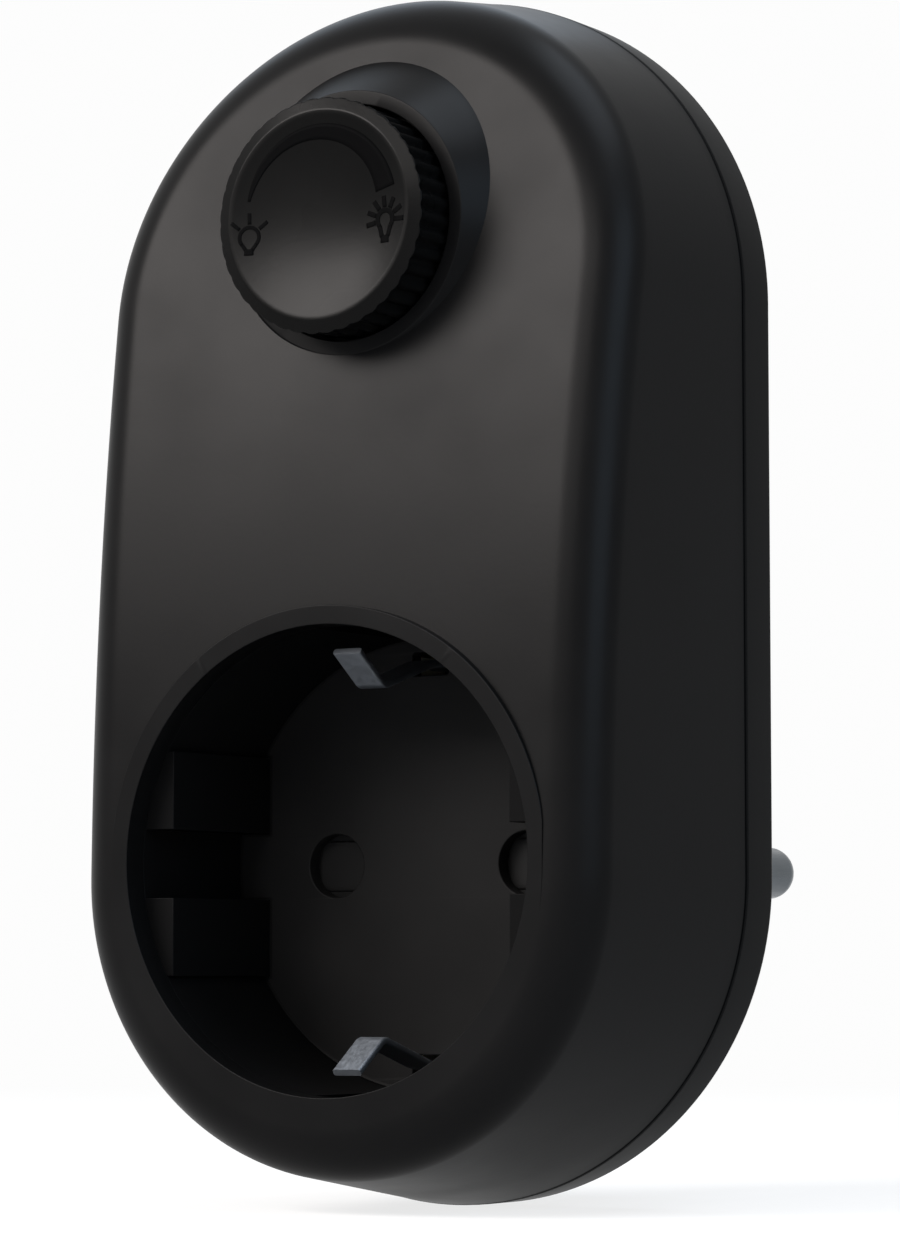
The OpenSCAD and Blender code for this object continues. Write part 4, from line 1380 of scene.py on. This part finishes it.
@dataclass
class DimmerKnob:
    """Fluted knob with a bevelled rim, a dished face and printed dim and bright signs."""

    axis: float = KNOB_AXIS
    radius: float = 9.7
    front: float = 28.2
    back: float = 21.4
    foot_round: float = 0.35
    foot_middle: float = 0.1
    flutes: int = 40
    flute_depth: float = 0.42
    flute_power: float = 3.0
    flute_steps: int = 14
    rim_radius: float = 9.95
    rim_height: float = 0.5
    rim_notch: float = 0.12
    bevel: float = 1.1
    bevel_drop: float = 0.36
    crest: float = 0.06
    dish: float = 1.0
    cavity_radius: float = 8.0
    cavity_roof: float = 26.5
    side_steps: int = 8
    bevel_steps: int = 14
    dish_steps: int = 22
    sharp: float = 40.0
    ink: float = 0.03
    ink_wall: float = 0.02
    stroke_steps: int = 5
    wedge_turn: Pair = (166.0, 15.0)
    wedge_width: float = 0.22
    wedge_growth: float = 1.85
    wedge_power: float = 0.8
    wedge_radius: float = 7.2
    wedge_closing: float = 0.6
    wedge_steps: int = 60
    signs: tuple[LampSign, ...] = (
        LampSign((-6.95, -1.3), 0.87, 1.26, 0.32, (38.0, 90.0, 141.0)),
        LampSign((6.35, -0.9), 0.78, 1.62, 0.42, (-2.0, 30.0, 62.0, 94.0, 126.0, 158.0, 190.0)),
    )

    def dish_edge(self) -> float:
        """Gives the radius at which the dish begins, inside the bevel and its crest."""
        return self.rim_radius - self.bevel - self.crest

    def dish_depth(self, radius: Points) -> Points:
        """Gives the face's depth: front - dish (1 - (r / R)^2) inside the rim."""
        return self.front - self.dish * np.maximum(0.0, 1.0 - (radius / self.dish_edge()) ** 2)

    def profile(self) -> tuple[Points, Points, int]:
        """Gives the knob's profile: cavity, rounded foot, side, rim, bevel and dished face.

        Returns:
            The profile's radii and depths, and how many of its points lie behind the rim.
        """
        foot = [
            (0.0, self.cavity_roof),
            (self.cavity_radius, self.cavity_roof),
            (self.cavity_radius, self.back),
            (self.radius - self.foot_round, self.back),
            (self.radius - self.foot_middle, self.back + self.foot_middle),
        ]
        bevel_foot = self.front - self.bevel_drop
        side = np.linspace(self.back + self.foot_round, bevel_foot - self.rim_height, self.side_steps)
        slope = np.linspace(0.0, 1.0, self.bevel_steps)
        bevel_radius = self.rim_radius - self.crest - (self.bevel - 2.0 * self.crest) * slope
        bevel_depth = bevel_foot + (self.bevel_drop - self.crest / 2.0) * slope
        inner = np.linspace(self.dish_edge(), 0.0, self.dish_steps)
        runs = [
            foot,
            np.column_stack([np.full(self.side_steps, self.radius), side]),
            [(self.rim_radius, bevel_foot - self.crest)],
            np.column_stack([bevel_radius, bevel_depth]),
            np.column_stack([inner, self.dish_depth(inner)]),
        ]
        radius, depth = np.vstack(runs).T
        return radius, depth, len(foot) + self.side_steps

    def build(self) -> None:
        """Builds the knob: a profile carried round the axis, cut by round-bottomed flutes on its side.

        The cut leaves at most R - flute depth * |cos(flutes * angle / 2)|^3 of the radius, which gives
        wide ridges. The rim stands over the flutes and is only notched by them.
        """
        radius, depth, behind_rim = self.profile()
        angle = np.linspace(0.0, 2.0 * np.pi, self.flutes * self.flute_steps, endpoint=False)
        groove = np.abs(np.cos(self.flutes * angle / 2.0))[:, None] ** self.flute_power
        notched = self.rim_radius - self.rim_notch * groove
        fluted = self.radius - self.flute_depth * groove
        on_rim = np.arange(len(radius)) >= behind_rim
        reach = np.minimum(radius, np.where(on_rim, notched, fluted))
        flat = reach[..., None] * direction(angle)[:, None, :] + (0.0, self.axis)
        work = Sheetwork()
        work.grid(lift(flat, depth))
        knob = work.piece("dimmer_knob_body", Look.knob_plastic, sharp=self.sharp)
        fit_piece(knob, "knob", Look.knob_plastic, "dimmer_knob")

    def stroke(self, path: Points, width: Points | float) -> Points:
        """Gives a printed stroke: a ribbon along a path, laid on the dished face.

        Args:
            path: points on the face about the knob's axis.
            width: the ribbon's width, or its width at each point.

        Returns:
            A grid of path points by points across by 3.
        """
        normal = left_normals(np.gradient(path, axis=0))
        across = np.linspace(-0.5, 0.5, self.stroke_steps) * np.broadcast_to(width, len(path))[:, None]
        flat = path[:, None, :] + normal[:, None, :] * across[..., None]
        level = self.dish_depth(np.linalg.norm(flat, axis=-1)) + self.ink
        return lift(flat + (0.0, self.axis), level)

    def build_signs(self) -> None:
        """Prints the wedge arc from dim to bright and the two lamp signs.

        The wedge's width is width + growth t^power and its radius is radius - closing t^2, with t from
        0 at the dim end to 1 at the bright end.
        """
        work = Sheetwork()
        start, end = np.radians(self.wedge_turn)
        share = np.linspace(0.0, 1.0, self.wedge_steps)
        width = self.wedge_width + self.wedge_growth * share**self.wedge_power
        middle = self.wedge_radius - self.wedge_closing * share**2
        path = arc(1.0, start, end, self.wedge_steps) * middle[:, None]
        work.grid(self.stroke(path, width), around=False)
        for sign in self.signs:
            for line, weight in sign.strokes():
                work.grid(self.stroke(line, weight), around=False)
        signs = work.piece("knob_signs", Look.sign_ink, thickness=self.ink_wall)
        fit_piece(signs, "knob", Look.knob_plastic)


@dataclass
class Lamp:
    """A soft box aimed at the object's middle."""

    name: str
    way: Colour
    distance: float
    size: Pair
    radiance: float
    colour: Colour

    def place(self, aim: Vector) -> None:
        """Hangs the lamp; its power is pi times its area times its radiance.

        Args:
            aim: the point that it shines at.
        """
        light = bpy.data.lights.new(self.name, "AREA")
        light.shape = "RECTANGLE"
        light.size, light.size_y = self.size
        light.energy = math.pi * self.size[0] * self.size[1] * self.radiance
        light.color = self.colour
        lamp = bpy.data.objects.new(self.name, light)
        way = Vector(self.way).normalized()
        turn = way.to_track_quat("Z", "Y").to_matrix().to_4x4()
        lamp.matrix_world = Matrix.Translation(aim + way * self.distance) @ turn
        bpy.context.scene.collection.objects.link(lamp)


def seen_share(tree: bpy.types.NodeTree) -> bpy.types.NodeSocket:
    """Gives 1 on rays from the eye, by reflection or through glass, and 0 on rays that only light.

    Args:
        tree: the node tree that takes the nodes.

    Returns:
        The share's socket.
    """
    path = tree.nodes.new("ShaderNodeLightPath")
    share = path.outputs["Is Camera Ray"]
    for name in ("Is Glossy Ray", "Is Transmission Ray"):
        either = tree.nodes.new("ShaderNodeMath")
        either.operation = "MAXIMUM"
        tree.links.new(share, either.inputs[0])
        tree.links.new(path.outputs[name], either.inputs[1])
        share = either.outputs[0]
    return share


@dataclass
class Studio:
    """Pale floor, white surround, soft lamps and the photograph's camera."""

    floor_level: float = -0.0293
    floor_size: float = 6.0
    paper_scale: float = 900.0
    paper_tones: Pair = (0.86, 0.90)
    shadow_reach: Pair = (0.12, 0.40)
    near_glow: float = 0.8
    camera_place: Colour = (0.195735, -0.355729, -0.009412)
    yaw: float = 0.5351706
    pitch: float = -0.0797268
    roll: float = -0.0010132
    focal_pixels: float = 4438.316
    frame_height: float = 1240.0
    sensor: float = 36.0
    nearest: float = 0.01
    ambient: float = 0.25
    white: float = 0.98
    lamps: list[Lamp] = field(
        default_factory=lambda: [
            Lamp("key_lamp", (-0.49, -0.735, 0.485), 1.1, (0.60, 0.42), 27.0, (1.0, 0.945, 0.915)),
            Lamp("fill_lamp", (0.02, -0.88, 0.47), 1.1, (0.66, 0.40), 8.0, (1.0, 0.95, 0.92)),
            Lamp("top_lamp", (0.30, 0.00, 0.95), 0.9, (0.55, 0.55), 6.0, (0.80, 0.89, 1.0)),
            Lamp("cool_lamp", (0.88, -0.28, 0.38), 1.0, (0.55, 0.55), 5.4, (0.60, 0.79, 1.0)),
            Lamp("back_lamp", (-0.45, 0.55, 0.70), 1.0, (0.70, 0.50), 0.9, (0.60, 0.78, 1.0)),
        ]
    )

    def surround(self) -> None:
        """Sets the world: white to the eye and in reflections, a low even level as light."""
        world = bpy.data.worlds.new("studio")
        bpy.context.scene.world = world
        world.use_nodes = True
        tree = world.node_tree
        tree.nodes.clear()
        output = tree.nodes.new("ShaderNodeOutputWorld")
        mix = tree.nodes.new("ShaderNodeMixShader")
        tree.links.new(seen_share(tree), mix.inputs[0])
        for place, level in ((1, self.ambient), (2, self.white)):
            light = tree.nodes.new("ShaderNodeBackground")
            light.inputs["Color"].default_value = WHITE
            light.inputs["Strength"].default_value = level
            tree.links.new(light.outputs[0], mix.inputs[place])
        tree.links.new(mix.outputs[0], output.inputs["Surface"])

    def floor_paper(self) -> bpy.types.Material:
        """Makes the floor's paper: matt, with a white glow on rays that are seen.

        The glow's share grows with the distance from the object, so the shadow stays near it.

        Returns:
            The material.
        """
        kit = NodeKit("floor_white")
        link = kit.tree.links.new
        dark, light = self.paper_tones
        paper = kit.ramp(kit.noise(self.paper_scale), (dark, dark, dark), (light, light, light))
        matt = kit.add("ShaderNodeBsdfDiffuse", Color=paper)
        glow = kit.add("ShaderNodeEmission", Color=WHITE, Strength=self.white)
        away = kit.add("ShaderNodeVectorMath")
        away.operation = "LENGTH"
        link(kit.place, away.inputs[0])
        fade = kit.remap(away.outputs["Value"], self.shadow_reach, (self.near_glow, 1.0))
        share = kit.add("ShaderNodeMath")
        share.operation = "MULTIPLY"
        link(seen_share(kit.tree), share.inputs[0])
        link(fade, share.inputs[1])
        mix = kit.add("ShaderNodeMixShader")
        for place, node in enumerate((share, matt, glow)):
            link(node.outputs[0], mix.inputs[place])
        link(mix.outputs[0], kit.output.inputs["Surface"])
        return kit.material

    def floor(self) -> None:
        """Lays the floor: a square sheet of paper under the object."""
        half = self.floor_size / 2.0
        corner = np.array([(-half, -half), (half, -half), (half, half), (-half, half)])
        mesh = bpy.data.meshes.new("studio_floor")
        mesh.from_pydata(lift(corner, self.floor_level).tolist(), [], [(0, 1, 2, 3)])
        mesh.materials.append(self.floor_paper())
        sheet = bpy.data.objects.new("studio_floor", mesh)
        bpy.context.scene.collection.objects.link(sheet)
        sheet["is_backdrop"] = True

    def camera(self) -> None:
        """Places the camera: turned to the left by yaw about the upright, tipped by pitch, rolled by roll.

        Before turning it looks along +y with z up. The lens follows from the focal length in pixels
        and the frame's long side.
        """
        data = bpy.data.cameras.new("photo_camera")
        data.sensor_width = self.sensor
        data.lens = self.focal_pixels * data.sensor_width / self.frame_height
        data.clip_start = self.nearest
        eye = bpy.data.objects.new("photo_camera", data)
        turn = Matrix.Rotation(self.yaw, 4, "Z")
        tip = Matrix.Rotation(-self.pitch, 4, "X")
        level = Matrix.Rotation(math.pi / 2, 4, "X")
        roll = Matrix.Rotation(self.roll, 4, "Z")
        eye.matrix_world = Matrix.Translation(self.camera_place) @ turn @ tip @ level @ roll
        bpy.context.scene.collection.objects.link(eye)
        bpy.context.scene.camera = eye

    def build(self) -> None:
        """Sets up the surround, floor, lamps and camera, and the plain view transform."""
        bpy.context.scene.view_settings.view_transform = "Standard"
        self.surround()
        self.floor()
        low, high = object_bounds()
        aim = (Vector(low) + Vector(high)) / 2.0
        for lamp in self.lamps:
            lamp.place(aim)
        self.camera()


def dress_solids(frame: dict) -> None:
    """Gives every carried-over CAD node the finish of its material slot.

    Args:
        frame: what the frame's load gave.
    """
    slots = {row["node"]: row["material_slot"] for row in frame["record"]["subparts"]}
    for name, node in frame["nodes"].items():
        look = Look[slots[name]]
        node.data.materials.clear()
        node.data.materials.append(look.value.material())


def main() -> None:
    """Dresses the solids, sets up the studio and builds the pieces in order."""
    logging.basicConfig(level=logging.INFO, format="%(name)s %(message)s")
    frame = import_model()
    dress_solids(frame)
    Studio().build()
    form = HousingForm()
    FrontShell(form).build()
    cover = RearCover(form)
    cover.build()
    cover.build_screws()
    PlugBody().build()
    cup = SocketCup()
    cup.build_wall()
    cup.build_floor()
    ShutterPads().build()
    strips = EarthStrips()
    strips.build(1.0, "earth_clip_upper", "earth_strip_upper")
    strips.build(-1.0, "earth_clip_lower", "earth_strip_lower")
    pin = PlugPin()
    pin.build(-PIN_HALF_SPACING, "plug_pin_left", "live_pin")
    pin.build(PIN_HALF_SPACING, "plug_pin_right", "neutral_pin")
    knob = DimmerKnob()
    knob.build()
    knob.build_signs()


if __name__ == "__main__":
    main()
